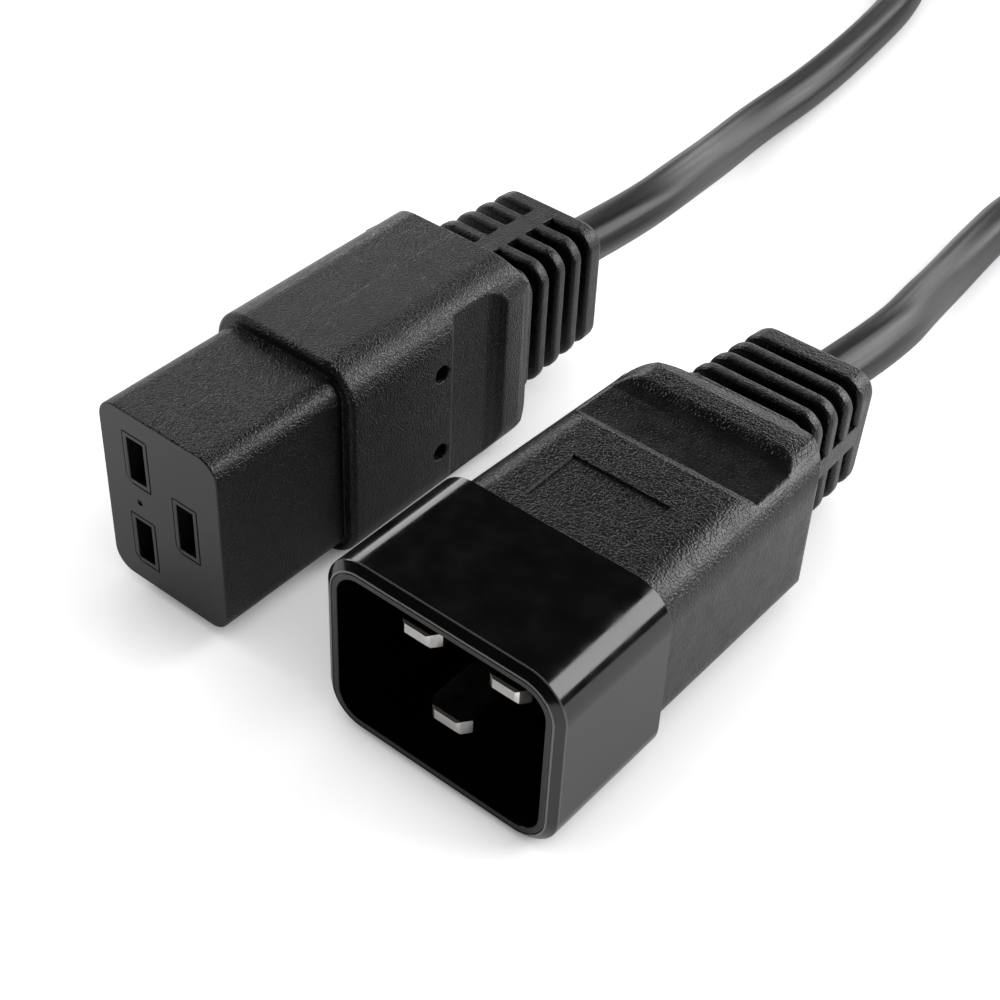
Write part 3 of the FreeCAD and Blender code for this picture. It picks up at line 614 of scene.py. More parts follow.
@dataclass(frozen=True)
class Seam:
    """The fine line where the two halves of a mould met, with the height and breaks of its step."""

    axis: Axis
    at: float
    half: float = 0.09 * MM
    height: float = 0.036 * MM
    breaks: float = 110.0
    broken: Range = (0.44, 0.58)


@dataclass(frozen=True)
class GrainedMoulding:
    """Soft black PVC out of an etched mould: a leathery grain, its seam, a faint mottle, and pale painted highlights
    on some edges and slopes.
    """

    name: str
    seam: Seam
    dark: Colour = (0.0050, 0.0050, 0.0052)
    light: Colour = (0.0100, 0.0100, 0.0103)
    roughness: float = 0.33
    grain: float = 3300.0
    grain_deep: float = 0.042 * MM
    rise: float = 0.14
    twist: float = 0.35
    mottle: float = 160.0
    # The pale colour of the painted highlights and sheen on rims and slopes.
    painted_highlight: Colour = (0.34, 0.34, 0.34)

    def make(self) -> bpy.types.Material:
        """Lay out the material.

        The piece's attributes say how strong its grain is and where it takes a pale painted highlight.

        Returns:
            The material.
        """
        sheet = NodeSheet(self.name)
        place = sheet.place()
        worms = sheet.noise(place, self.grain, 0.0, self.twist)
        height = sheet.spread(worms, (0.5 - self.rise, 0.5 + self.rise))
        height = sheet.maths("MULTIPLY", height, sheet.attribute("grain"))
        coarse = sheet.bump(height, self.grain_deep)
        sheet.take("Normal", sheet.bump(self.seam_step(sheet), self.seam.height, coarse))
        mottle = sheet.spread(sheet.noise(place, self.mottle, 3.0), NOISE_MIDDLE, (0.7, 1.0))
        # The mottle is multiplied by the grain share, so the colour turns darker where the grain is weaker: in the
        # scoops, on the rear slopes and over the relief.
        base = sheet.tint(sheet.maths("MULTIPLY", mottle, sheet.attribute("grain")), self.dark, self.light)
        # Painted highlight: the base colour turns pale where the edge attribute says so.
        sheet.take("Base Color", sheet.paint_highlight(base, self.painted_highlight))
        sheet.rough_by(sheet.noise(place, 420.0, 2.0), NOISE_MIDDLE, self.roughness, 0.05, 0.06)
        sheet.set(IOR=1.5)
        return sheet.material

    def seam_step(self, sheet: NodeSheet) -> bpy.types.NodeSocket:
        """Give the height of the seam's step, strong in places and faint between them.

        Args:
            sheet: The material that is being laid out.

        Returns:
            The height, from 0 to 1.
        """
        seam = self.seam
        split = sheet.add("ShaderNodeSeparateXYZ")
        sheet.join(sheet.coordinates.outputs["Object"], split.inputs["Vector"])
        off = sheet.maths("SUBTRACT", split.outputs[seam.axis.value], seam.at)
        breaks = sheet.noise(sheet.place((0, seam.breaks, 0)), 1.0, 2.0)
        step = sheet.spread(off, (-seam.half, seam.half))
        return sheet.maths("MULTIPLY", step, sheet.spread(breaks, seam.broken, (0.15, 1.0)))


@dataclass(frozen=True)
class DrawnFace:
    """A flat mould face with fine upright tool marks. Its colours are some three times paler than the grained
    moulding's, painted light that brightens the connector's front face; the carrier's face takes the same.
    """

    name: str
    dark: Colour = (0.017, 0.017, 0.0173)
    light: Colour = (0.027, 0.027, 0.0273)
    roughness: float = 0.33
    lines: float = 5200.0
    deep: float = 0.004 * MM

    def make(self) -> bpy.types.Material:
        """Lay out the material, its marks running up the face.

        Returns:
            The material.
        """
        sheet = NodeSheet(self.name)
        marks = sheet.noise(sheet.place((1.0, 1.0, 0.05)), self.lines, 2.0)
        wide = sheet.noise(sheet.place((1.0, 1.0, 0.12)), 900.0, 2.0)
        speck = sheet.noise(sheet.place(), 3000.0, 2.0)
        sheet.take("Normal", sheet.bump(speck, self.deep, sheet.bump(marks, self.deep)))
        sheet.take("Base Color", sheet.tint(sheet.spread(wide, NOISE_MIDDLE), self.dark, self.light))
        sheet.rough_by(wide, NOISE_MIDDLE, self.roughness, 0.04, 0.04)
        sheet.set(IOR=1.5)
        return sheet.material


@dataclass(frozen=True)
class PolishedShell:
    """Hard glossy black plastic, with the faint waves and hairlines of a handled polish."""

    name: str
    colour: Colour = (0.0035, 0.0035, 0.0037)
    worn: float = 1.9
    # The pale colour of the painted highlights on the rim's edges.
    painted_highlight: Colour = (0.40, 0.40, 0.40)
    roughness: float = 0.13
    hair: float = 0.0012 * MM
    wave: float = 0.006 * MM

    def make(self) -> bpy.types.Material:
        """Lay out the material; the attribute called edge on the piece says where its edges take a pale painted
        highlight.

        Returns:
            The material.
        """
        sheet = NodeSheet(self.name)
        place = sheet.place()
        waves = sheet.bump(sheet.noise(place, 90.0, 1.0), self.wave)
        hairs = sheet.noise(sheet.place((0.3, 0.02, 0.3)), 9000.0, 1.0)
        sheet.take("Normal", sheet.bump(hairs, self.hair, waves))
        wear = sheet.noise(place, 260.0, 4.0)
        paler = tuple(self.worn * channel for channel in self.colour)
        plain = sheet.tint(sheet.spread(wear, NOISE_UPPER), self.colour, paler)
        # Painted highlight on the rim's edges.
        sheet.take("Base Color", sheet.paint_highlight(plain, self.painted_highlight))
        sheet.rough_by(wear, NOISE_UPPER, self.roughness, 0.03, 0.07)
        sheet.set(IOR=1.53)
        return sheet.material


@dataclass(frozen=True)
class HardPlastic:
    """A plain engineering plastic with a fine even texture."""

    name: str
    dark: Colour
    light: Colour
    roughness: float = 0.45
    grain: float = 2600.0
    deep: float = 0.006 * MM

    def make(self) -> bpy.types.Material:
        """Lay out the material.

        Returns:
            The material.
        """
        sheet = NodeSheet(self.name)
        place = sheet.place()
        mottle = sheet.noise(place, 0.1 * self.grain, 3.0)
        sheet.take("Base Color", sheet.tint(sheet.spread(mottle, NOISE_MIDDLE), self.dark, self.light))
        sheet.take("Normal", sheet.bump(sheet.noise(place, self.grain, 2.0), self.deep))
        sheet.rough_by(mottle, NOISE_MIDDLE, self.roughness, 0.05, 0.05)
        return sheet.material


@dataclass(frozen=True)
class BareMetal:
    """Plated or bare metal, brushed along Y, with a little staining."""

    name: str
    clean: Colour
    stained: Colour
    roughness: float = 0.24
    lines: float = 7000.0
    deep: float = 0.0015 * MM

    def make(self) -> bpy.types.Material:
        """Lay out the material.

        Returns:
            The material.
        """
        sheet = NodeSheet(self.name)
        brushed = sheet.noise(sheet.place((1.0, 0.03, 1.0)), self.lines, 1.0)
        stain = sheet.noise(sheet.place(), 380.0, 3.0)
        sheet.take("Normal", sheet.bump(brushed, self.deep))
        sheet.take("Base Color", sheet.tint(sheet.spread(stain, NOISE_UPPER), self.clean, self.stained))
        sheet.rough_by(stain, NOISE_MIDDLE, self.roughness, 0.06, 0.10)
        sheet.set(Metallic=1.0)
        return sheet.material


@dataclass(frozen=True)
class StrandedCopper:
    """A bunch of fine copper wires, laid at a slant along Y."""

    name: str
    colour: Colour = (0.80, 0.36, 0.19)
    dull: Colour = (0.50, 0.20, 0.10)
    strands: float = 900.0
    deep: float = 0.05 * MM

    def make(self) -> bpy.types.Material:
        """Lay out the material.

        Returns:
            The material.
        """
        sheet = NodeSheet(self.name)
        waves = sheet.add("ShaderNodeTexWave", wave_type="BANDS", bands_direction="DIAGONAL")
        waves.inputs["Scale"].default_value = self.strands
        waves.inputs["Distortion"].default_value = 0.6
        sheet.join(sheet.place((1.0, 0.25, 1.0)), waves.inputs["Vector"])
        sheet.take("Normal", sheet.bump(waves.outputs["Fac"], self.deep))
        sheet.take("Base Color", sheet.tint(waves.outputs["Fac"], self.dull, self.colour))
        sheet.set(Metallic=1.0, Roughness=0.34)
        return sheet.material


@dataclass(frozen=True)
class CordSheath:
    """Smooth grey-black sheath, drawn lengthwise, with faint flow lines along the cord."""

    name: str
    dark: Colour = (0.013, 0.013, 0.0133)
    light: Colour = (0.021, 0.021, 0.0214)
    roughness: float = 0.37
    flow_deep: float = 0.020 * MM
    fine_deep: float = 0.006 * MM

    def make(self) -> bpy.types.Material:
        """Lay out the material; its lines follow the cord's own UV map.

        Returns:
            The material.
        """
        sheet = NodeSheet(self.name)
        drawn = sheet.noise(sheet.place((46.0, 26.0, 1.0), uv=True), 1.0, 3.0)
        fine = sheet.noise(sheet.place((160.0, 420.0, 1.0), uv=True), 1.0, 2.0)
        sheet.take("Normal", sheet.bump(fine, self.fine_deep, sheet.bump(drawn, self.flow_deep)))
        sheet.take("Base Color", sheet.tint(sheet.spread(drawn, NOISE_MIDDLE), self.dark, self.light))
        sheet.rough_by(drawn, NOISE_MIDDLE, self.roughness, 0.05, 0.07)
        sheet.set(IOR=1.45)
        return sheet.material


@dataclass(frozen=True)
class TableTop:
    """A pale, plain table that keeps the lamps' shadow, shows as white, and has painted shade near the objects in its
    glow.
    """

    name: str
    colour: Colour = (0.86, 0.86, 0.86)
    specked: float = 0.985
    glow: float = 0.92
    near: float = 22.0 * MM
    mirrored: float = 0.62
    far: float = 70.0 * MM

    @staticmethod
    def open_sky(sheet: NodeSheet, reach: float) -> bpy.types.NodeSocket:
        """Give how open the table is to the sky.

        Args:
            sheet: The material that is being laid out.
            reach: How far around a point of the table counts.

        Returns:
            The share of the sky that nothing hides.
        """
        node = sheet.add("ShaderNodeAmbientOcclusion", samples=8)
        node.inputs["Distance"].default_value = reach
        return node.outputs["AO"]

    def make(self) -> bpy.types.Material:
        """Lay out the material, brightened only for what looks at it or mirrors it; that glow fades near the objects,
        as painted shade.

        Returns:
            The material.
        """
        sheet = NodeSheet(self.name)
        speck = sheet.noise(sheet.place(), 700.0, 2.0)
        shade = tuple(self.specked * channel for channel in self.colour)
        sheet.take("Base Color", sheet.tint(speck, shade, self.colour))
        path = sheet.add("ShaderNodeLightPath")
        mirrored = sheet.maths("MAXIMUM", path.outputs["Is Glossy Ray"], path.outputs["Is Transmission Ray"])
        # Painted shade: the mirrored glow fades where the objects hide the sky.
        mirrored = sheet.maths("MULTIPLY", mirrored, sheet.maths("POWER", self.open_sky(sheet, self.far), 2.0))
        mirrored = sheet.maths("MULTIPLY", mirrored, self.mirrored)
        # Painted shadow: the glow that is seen fades near the objects.
        seen = sheet.maths("MULTIPLY", path.outputs["Is Camera Ray"], self.open_sky(sheet, self.near))
        glow = sheet.maths("ADD", sheet.maths("MULTIPLY", seen, self.glow), mirrored)
        sheet.take("Emission Strength", glow)
        sheet.set(Roughness=1.0, Specular_IOR_Level=0.0, Emission_Color=(1.0, 1.0, 1.0, 1.0))
        return sheet.material


# ---------------------------------------------------------------- the two moulded ends


@dataclass
class Moulding:
    """What both ends share: a grip with finger scoops in its sides, and a ribbed relief behind it.

    A field that starts with ease says how far the edges of a region are rounded, one that starts with grain
    how strong the grain is there, and one that ends with sheen how pale a painted sheen makes its faces.
    """

    axis_x: float
    axis_z: float
    grip_end: float
    scoop_front: float
    scoop_rear: float
    ease_rib: float
    cord_hole: float = 5.6 * MM
    ease_hollow: float = 0.12 * MM
    ease_rib_side: float = 0.16 * MM
    ease_rear: float = 0.10 * MM
    # How pale the painted sheen on the rear slopes is.
    slope_sheen: float = 0.10
    behind: float = 0.2 * MM
    beside: float = 0.05 * MM

    def relief_radius(self, edge: Edge) -> float:
        """Say how much an edge of the ribbed relief is eased.

        Args:
            edge: The edge.

        Returns:
            The rounding's size in metres.
        """
        off_axis = math.hypot(edge.place.x - self.axis_x, edge.place.z - self.axis_z)
        if not edge.convex or off_axis < self.cord_hole:
            return self.ease_hollow
        return self.ease_rib_side if abs(edge.way.y) > 0.7 else self.ease_rib


# ---------------------------------------------------------------- the connector


@dataclass
class Connector(Moulding):
    """The appliance connector: grained moulding, contact carrier and contacts; Wires dresses its wires."""

    axis_x: float = 0.0
    axis_z: float = 15.45 * MM
    grip_end: float = 18.25 * MM
    scoop_front: float = 1.85 * MM
    scoop_rear: float = 12.95 * MM
    ease_rib: float = 0.72 * MM
    face: float = -38.35 * MM
    rear_bend: float = 5.4 * MM
    rear_lean: float = 0.5
    scoop_between: Range = (11.0 * MM, 15.0 * MM)
    openings: Range = (8.2 * MM, 12.0 * MM)
    snout: Range = (3.4 * MM, 5.6 * MM)
    gate_x: float = -4.2 * MM
    gate_z: float = 15.3 * MM
    gate_radius: float = 0.42 * MM
    ease_rim: float = 0.14 * MM
    ease_scoop: float = 0.34 * MM
    ease_gate: float = 0.08 * MM
    ease_opening: float = 0.13 * MM
    ease_face: float = 0.24 * MM
    ease_grip: float = 0.18 * MM
    grain_scoop: float = 0.5
    grain_slope: float = 0.1
    grain_relief: float = 0.7
    skin: GrainedMoulding = GrainedMoulding(
        "connector_grain", Seam(Axis.X, 0.0), grain=4300.0, grain_deep=0.055 * MM
    )
    # The front face takes the paler colours of DrawnFace: painted light.
    front: DrawnFace = DrawnFace("connector_front")
    # Near-black painted shade for the fine groove round each snout, where the real groove lies in shadow.
    groove_shade: HardPlastic = HardPlastic(
        "snout_painted_shade", (0.0008, 0.0008, 0.0008), (0.0015, 0.0015, 0.0015), 0.9
    )
    carrier: DrawnFace = DrawnFace("carrier_front")
    brass: BareMetal = BareMetal("contact_brass", (0.80, 0.60, 0.28), (0.55, 0.36, 0.14), 0.30)

    def radius_at(self, edge: Edge) -> float:
        """Say how much a sharp edge of the moulding is eased.

        Args:
            edge: The edge.

        Returns:
            The rounding's size in metres.
        """
        place = edge.place
        if place.y > self.grip_end + self.behind:
            return self.relief_radius(edge)
        if place.y > self.scoop_rear + 0.3 * MM:
            return self.ease_rim if place.z > 25.9 * MM else self.ease_rear
        if place.y > self.scoop_front - 1.0 * MM:
            return self.ease_scoop
        if place.y > self.face + 0.5 * MM:
            return self.ease_grip
        if math.hypot(place.x - self.gate_x, place.z - self.gate_z) < 0.6 * MM:
            return self.ease_gate
        wide, high = self.openings
        near_opening = abs(place.x) < wide and abs(place.z - self.axis_z) < high
        return self.ease_opening if near_opening else self.ease_face

    def grain_at(self, place: Vector, normal: Vector) -> float:
        """Say how strong the grain is on a face.

        Args:
            place: The face's middle.
            normal: Its normal.

        Returns:
            A share from 0 to 1.
        """
        near, far = self.scoop_between
        in_scoop = self.scoop_front < place.y < self.scoop_rear and near < abs(place.x) < far
        if in_scoop and abs(normal.x) > 0.9:
            return self.grain_scoop
        if self.grip_end - 5.5 * MM < place.y < self.grip_end + self.beside and normal.y > 0.5:
            return self.grain_slope
        return self.grain_relief if place.y > self.grip_end else 1.0

    def highlight_at(self, place: Vector, normal: Vector) -> float:
        """Say how pale a painted highlight makes a face of the moulding: on the rim behind the grip and its rear
        slopes.

        Args:
            place: The face's middle.
            normal: Its normal.

        Returns:
            A share from 0 to 1.
        """
        at_rear = self.grip_end - self.rear_bend < place.y < self.grip_end - 0.02 * MM
        if not at_rear or place.z < 3.0 * MM:
            return 0.0
        # Painted highlight along the top rear rim, then a faint painted sheen on the side slopes.
        if place.z > 25.6 * MM and 0.30 < normal.y < 0.86:
            return 1.0
        return self.slope_sheen if abs(normal.x) > 0.9 and 0.15 < normal.y < 0.3 else 0.0

    def snouts(self) -> list[Vector]:
        """Give the middle of each of the three snouts."""
        boxes = [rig.box(f"connector_{pole}_contact") for pole in POLES]
        return [(low + high) / 2 for low, high in boxes]

    def in_shaded_groove(self, place: Vector, normal: Vector, outward: float) -> bool:
        """Say whether a face lies in the fine groove round a snout, which takes the near-black painted shade.

        Args:
            place: The face's middle.
            normal: Its normal.
            outward: 1 on the snout, whose side of the groove faces away from its middle, -1 round it.

        Returns:
            Whether it does.
        """
        if place.y > self.face + 0.3 * MM or not -0.97 < normal.y < -0.05:
            return False
        off = min((place - snout for snout in self.snouts()), key=lambda v: math.hypot(v.x, v.z))
        near = abs(off.x) < self.snout[0] and abs(off.z) < self.snout[1]
        return near and outward * (off.x * normal.x + off.z * normal.z) > 0.0

    def drill_gate(self, skin: bpy.types.Object) -> None:
        """Sink the small round mark that the mould's gate left in the front face.

        Args:
            skin: The moulding.
        """
        deselect_all()
        bpy.ops.mesh.primitive_cylinder_add(
            vertices=20,
            radius=self.gate_radius,
            depth=0.5 * MM,
            location=(self.gate_x, self.face, self.gate_z),
            rotation=(math.radians(90), 0.0, 0.0),
        )
        gate = bpy.context.object
        apply_modifier(skin, "BOOLEAN", operation="DIFFERENCE", object=gate, solver="EXACT")
        bpy.data.objects.remove(gate)

    def square_rear(self, skin: bpy.types.Object) -> None:
        """Make the round behind the upper narrow side a steep slope, so that its rim follows the corners.

        Args:
            skin: The moulding.
        """
        top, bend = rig.box("connector_overmould")[1].z, self.rear_bend
        for vertex in skin.data.vertices:
            ahead, high = vertex.co.y - self.grip_end + bend, vertex.co.z - top + bend
            if min(ahead, high) > -self.beside and abs(math.hypot(ahead, high) - bend) < 0.04 * MM:
                vertex.co.y = self.grip_end - self.rear_lean * high

    def build_skin(self) -> None:
        """Ease the moulding's edges and give it its grain, its drawn front face in paler painted-light colours, its
        gate mark, a painted highlight on its rear rim with a faint painted sheen on its slopes, and painted shade in
        the grooves round the snouts.
        """
        skin = merged_copy("connector_overmould", "connector_skin")
        self.drill_gate(skin)
        self.square_rear(skin)
        ease_edges(skin, self.radius_at, clamp=False)
        paint_share(skin, "grain", self.grain_at)
        # The edge attribute marks the painted highlight on the rear rim and the painted sheen on the side slopes.
        paint_share(skin, "edge", self.highlight_at)
        for finish in (self.skin, self.front, self.groove_shade):
            skin.data.materials.append(finish.make())
        for face in skin.data.polygons:
            on_front = face.center.y < self.face + self.beside and face.normal.y < -0.98
            face.material_index = 1 if on_front else 0
            # Painted shade in the groove round each snout.
            if self.in_shaded_groove(face.center, face.normal, -1.0):
                face.material_index = 2
        add_piece(skin, skin.data.materials[0], "moulding", "connector_overmould")

    def carrier_radius_at(self, edge: Edge) -> float:
        """Say how much an edge of the carrier is eased: more at its front."""
        return 0.13 * MM if edge.place.y < self.face + 0.5 * MM else 0.05 * MM

    def build_carrier(self) -> None:
        """Ease the carrier and give its side of the fine groove round each of its snouts a near-black painted shade.
        """
        carrier = merged_copy("contact_carrier", "carrier_block")
        ease_edges(carrier, self.carrier_radius_at, segments=2)
        carrier.data.materials.append(self.carrier.make())
        carrier.data.materials.append(self.groove_shade.make())
        # Painted shade on the carrier's side of each groove.
        for face in carrier.data.polygons:
            face.material_index = 1 if self.in_shaded_groove(face.center, face.normal, 1.0) else 0
        add_piece(carrier, carrier.data.materials[0], "carrier", "contact_carrier")

    def build(self) -> None:
        """Build and dress the whole connector."""
        self.build_skin()
        self.build_carrier()
        metal = self.brass.make()
        for pole in POLES:
            dress_node(f"connector_{pole}_contact", metal)


# ---------------------------------------------------------------- the plug


@dataclass
class Plug(Moulding):
    """The inlet plug: grained moulding, polished shell and three pins; Wires dresses their wires."""

    axis_x: float = 44.0 * MM
    axis_z: float = 13.4 * MM
    grip_end: float = 18.45 * MM
    scoop_front: float = 2.05 * MM
    scoop_rear: float = 13.15 * MM
    ease_rib: float = 0.75 * MM
    rim: float = -38.15 * MM
    corner: float = 5.6 * MM
    scoop_between: Range = (8.0 * MM, 11.4 * MM)
    groove: Range = (1.17 * MM, 1.7 * MM)
    groove_cuts: tuple[Range, ...] = ((0.14 * MM, 0.0), (0.10 * MM, -0.12 * MM), (0.10 * MM, 0.12 * MM))
    ease_scoop: float = 0.38 * MM
    ease_scoop_front: float = 0.60 * MM
    ease_grip: float = 0.10 * MM
    ease_groove: float = 0.02 * MM
    ease_rim: float = 0.14 * MM
    ease_pin: float = 0.22 * MM
    grain_scoop: float = 0.45
    grain_relief: float = 0.8
    # How pale the painted highlight on the rim's outer slope is.
    rim_sheen: float = 0.4
    skin: GrainedMoulding = GrainedMoulding("plug_grain", Seam(Axis.Z, 13.4 * MM))
    shell: PolishedShell = PolishedShell("shell_polish")
    pin: BareMetal = BareMetal("pin_nickel", (0.90, 0.89, 0.87), (0.66, 0.64, 0.61), 0.17)

    def __post_init__(self) -> None:
        """Read where the shell lies."""
        self.shell_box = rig.box("plug_shroud")

    def radius_at(self, edge: Edge) -> float:
        """Say how much a sharp edge of the moulding is eased.

        Args:
            edge: The edge.

        Returns:
            The rounding's size in metres.
        """
        place = edge.place
        if place.y > self.grip_end + self.behind:
            return self.relief_radius(edge)
        if place.y > self.scoop_rear + 0.3 * MM:
            return self.ease_rear
        if place.y > self.scoop_front - 1.0 * MM:
            at_front = place.y < self.scoop_front + 1.0 * MM and edge.convex
            return self.ease_scoop_front if at_front else self.ease_scoop
        return self.ease_grip if abs(place.z - self.axis_z) > 9.5 * MM else 0.0

    def grain_at(self, place: Vector, normal: Vector) -> float:
        """Say how strong the grain is on a face.

        Args:
            place: The face's middle.
            normal: Its normal; not used.

        Returns:
            A share from 0 to 1.
        """
        near, far = self.scoop_between
        if self.scoop_front < place.y < self.scoop_rear and near < abs(place.z - self.axis_z) < far:
            return self.grain_scoop
        return self.grain_relief if place.y > self.grip_end else 1.0

    def slope_sheen_at(self, place: Vector, normal: Vector) -> float:
        """Say how pale a painted sheen makes a face of the moulding: a little on the slopes behind the grip.

        Args:
            place: The face's middle.
            normal: Its normal.

        Returns:
            A share from 0 to 1.
        """
        on_slope = self.grip_end - 2.1 * MM < place.y < self.grip_end and 0.15 < normal.y < 0.3
        return self.slope_sheen if on_slope and abs(normal.z) > 0.9 else 0.0

    def build_skin(self) -> None:
        """Ease the moulding's edges, give it its grain and paint a faint sheen on its rear slopes."""
        skin = merged_copy("plug_overmould", "plug_skin")
        ease_edges(skin, self.radius_at, clamp=False)
        paint_share(skin, "grain", self.grain_at)
        # The edge attribute marks a faint painted sheen on the rear slopes.
        paint_share(skin, "edge", self.slope_sheen_at)
        add_piece(skin, self.skin.make(), "moulding", "plug_overmould")

    def inside(self, place: Vector) -> float:
        """Say how far a place lies within the shell's outline, seen from the front.

        Args:
            place: The place.

        Returns:
            Its distance from the outline in metres.
        """
        low, high = self.shell_box
        middle, half = (low + high) / 2, (high - low) / 2
        over = [abs(place[axis] - middle[axis]) - half[axis] + self.corner for axis in (0, 2)]
        past = math.hypot(max(over[0], 0.0), max(over[1], 0.0)) + min(max(over), 0.0)
        return self.corner - past

    def shape_rim(self, shell: bpy.types.Object) -> None:
        """Cut a fine groove into the flat of the shell's rim, just within its outer edge.

        Args:
            shell: The shell.
        """
        begin_edit(shell)
        select_faces(shell, lambda place, normal: place.y < self.rim + self.beside and normal.y < -0.98)
        for inward, down in self.groove_cuts:
            bpy.ops.mesh.inset(thickness=inward, depth=down, use_boundary=True, use_even_offset=True)
        end_edit()
        for vertex in shell.data.vertices:
            if abs(vertex.co.y - self.rim) < 0.2 * MM and self.inside(vertex.co) > self.groove[1]:
                vertex.co.y = self.rim

    def rim_radius_at(self, edge: Edge) -> float:
        """Say how much an edge of the shell is eased.

        Args:
            edge: The edge.

        Returns:
            The rounding's size in metres.
        """
        if edge.place.y > self.rim + 3 * MM:
            return self.ease_grip
        near, far = self.groove
        in_groove = edge.place.y < self.rim + 0.2 * MM and near < self.inside(edge.place) < far
        return self.ease_groove if in_groove else self.ease_rim

    def highlight_at(self, place: Vector, normal: Vector) -> float:
        """Say how pale a painted highlight makes a face of the shell: on the two edges of its rim's slope.

        Args:
            place: The face's middle.
            normal: Its normal.

        Returns:
            A share from 0 to 1.
        """
        within = self.inside(place)
        if place.y > self.rim + 1.2 * MM or within > 1.2 * MM:
            return 0.0
        if -0.992 < normal.y < -0.83:
            return 1.0
        return self.rim_sheen if -0.70 < normal.y < -0.10 and within < 0.2 * MM else 0.0

    def build_shell(self) -> None:
        """Ease the polished shell's edges, so that its rim catches the light, and paint highlights on the edges of its
        rim's slope.
        """
        shell = merged_copy("plug_shroud", "plug_shell")
        self.shape_rim(shell)
        ease_edges(shell, self.rim_radius_at, sharper=20.0)
        # The edge attribute marks the painted highlights on the rim's edges.
        paint_share(shell, "edge", self.highlight_at)
        add_piece(shell, self.shell.make(), "shroud", "plug_shroud")

    def build_pins(self) -> None:
        """Round the edges of the three pins."""
        metal = self.pin.make()
        for pole in POLES:
            pin = merged_copy(f"plug_{pole}_pin", f"{pole}_blade")
            ease_edges(pin, lambda edge: self.ease_pin)
            add_piece(pin, metal, "pin_metal", f"plug_{pole}_pin")

    def build(self) -> None:
        """Build and dress the whole plug."""
        self.build_skin()
        self.build_shell()
        self.build_pins()


# ---------------------------------------------------------------- the wires inside


@dataclass
class Wires:
    """The three wires in each end, which the mouldings hide."""

    copper: StrandedCopper = StrandedCopper("strand_copper")
    brown: HardPlastic = HardPlastic("core_brown", (0.085, 0.035, 0.014), (0.11, 0.048, 0.020))
    blue: HardPlastic = HardPlastic("core_blue", (0.012, 0.055, 0.25), (0.018, 0.075, 0.32))
    green: HardPlastic = HardPlastic("core_green", (0.05, 0.22, 0.03), (0.42, 0.40, 0.03))

    def build(self) -> None:
        """Dress the conductors and their insulation."""
        copper = self.copper.make()
        colours = [finish.make() for finish in (self.brown, self.blue, self.green)]
        for end in ("connector", "plug"):
            for pole, colour in zip(POLES, colours):
                dress_node(f"{end}_{pole}_conductor", copper)
                dress_node(f"{end}_{pole}_core", colour)


# ---------------------------------------------------------------- the cord


CONNECTOR_RUN = (
    (0.0, 23.65, 15.45),
    (0.0, 38.35, 15.45),
    (1.5, 58.65, 15.0),
    (-1.6, 74.65, 12.0),
    (-5.9, 90.65, 7.5),
    (-9.5, 107.65, 4.6),
    (-10.3, 127.65, 3.9),
    (-12.7, 150.65, 3.9),
    (-15.9, 172.65, 4.0),
    (-25.0, 193.65, 4.2),
    (-27.35, 204.65, 4.3),
    (-27.35, 214.65, 4.3),
)
PLUG_RUN = (
    (67.35, 214.65, 11.9),
    (67.35, 204.65, 11.9),
    (66.8, 193.65, 10.4),
    (61.0, 175.65, 7.2),
    (51.0, 156.65, 4.6),
    (42.0, 136.65, 3.9),
    (37.3, 117.65, 3.9),
    (38.1, 101.65, 4.0),
    (40.2, 86.65, 6.0),
    (42.9, 72.65, 9.9),
    (45.4, 59.65, 12.6),
    (44.0, 38.55, 13.4),
    (44.0, 23.85, 13.4),
)


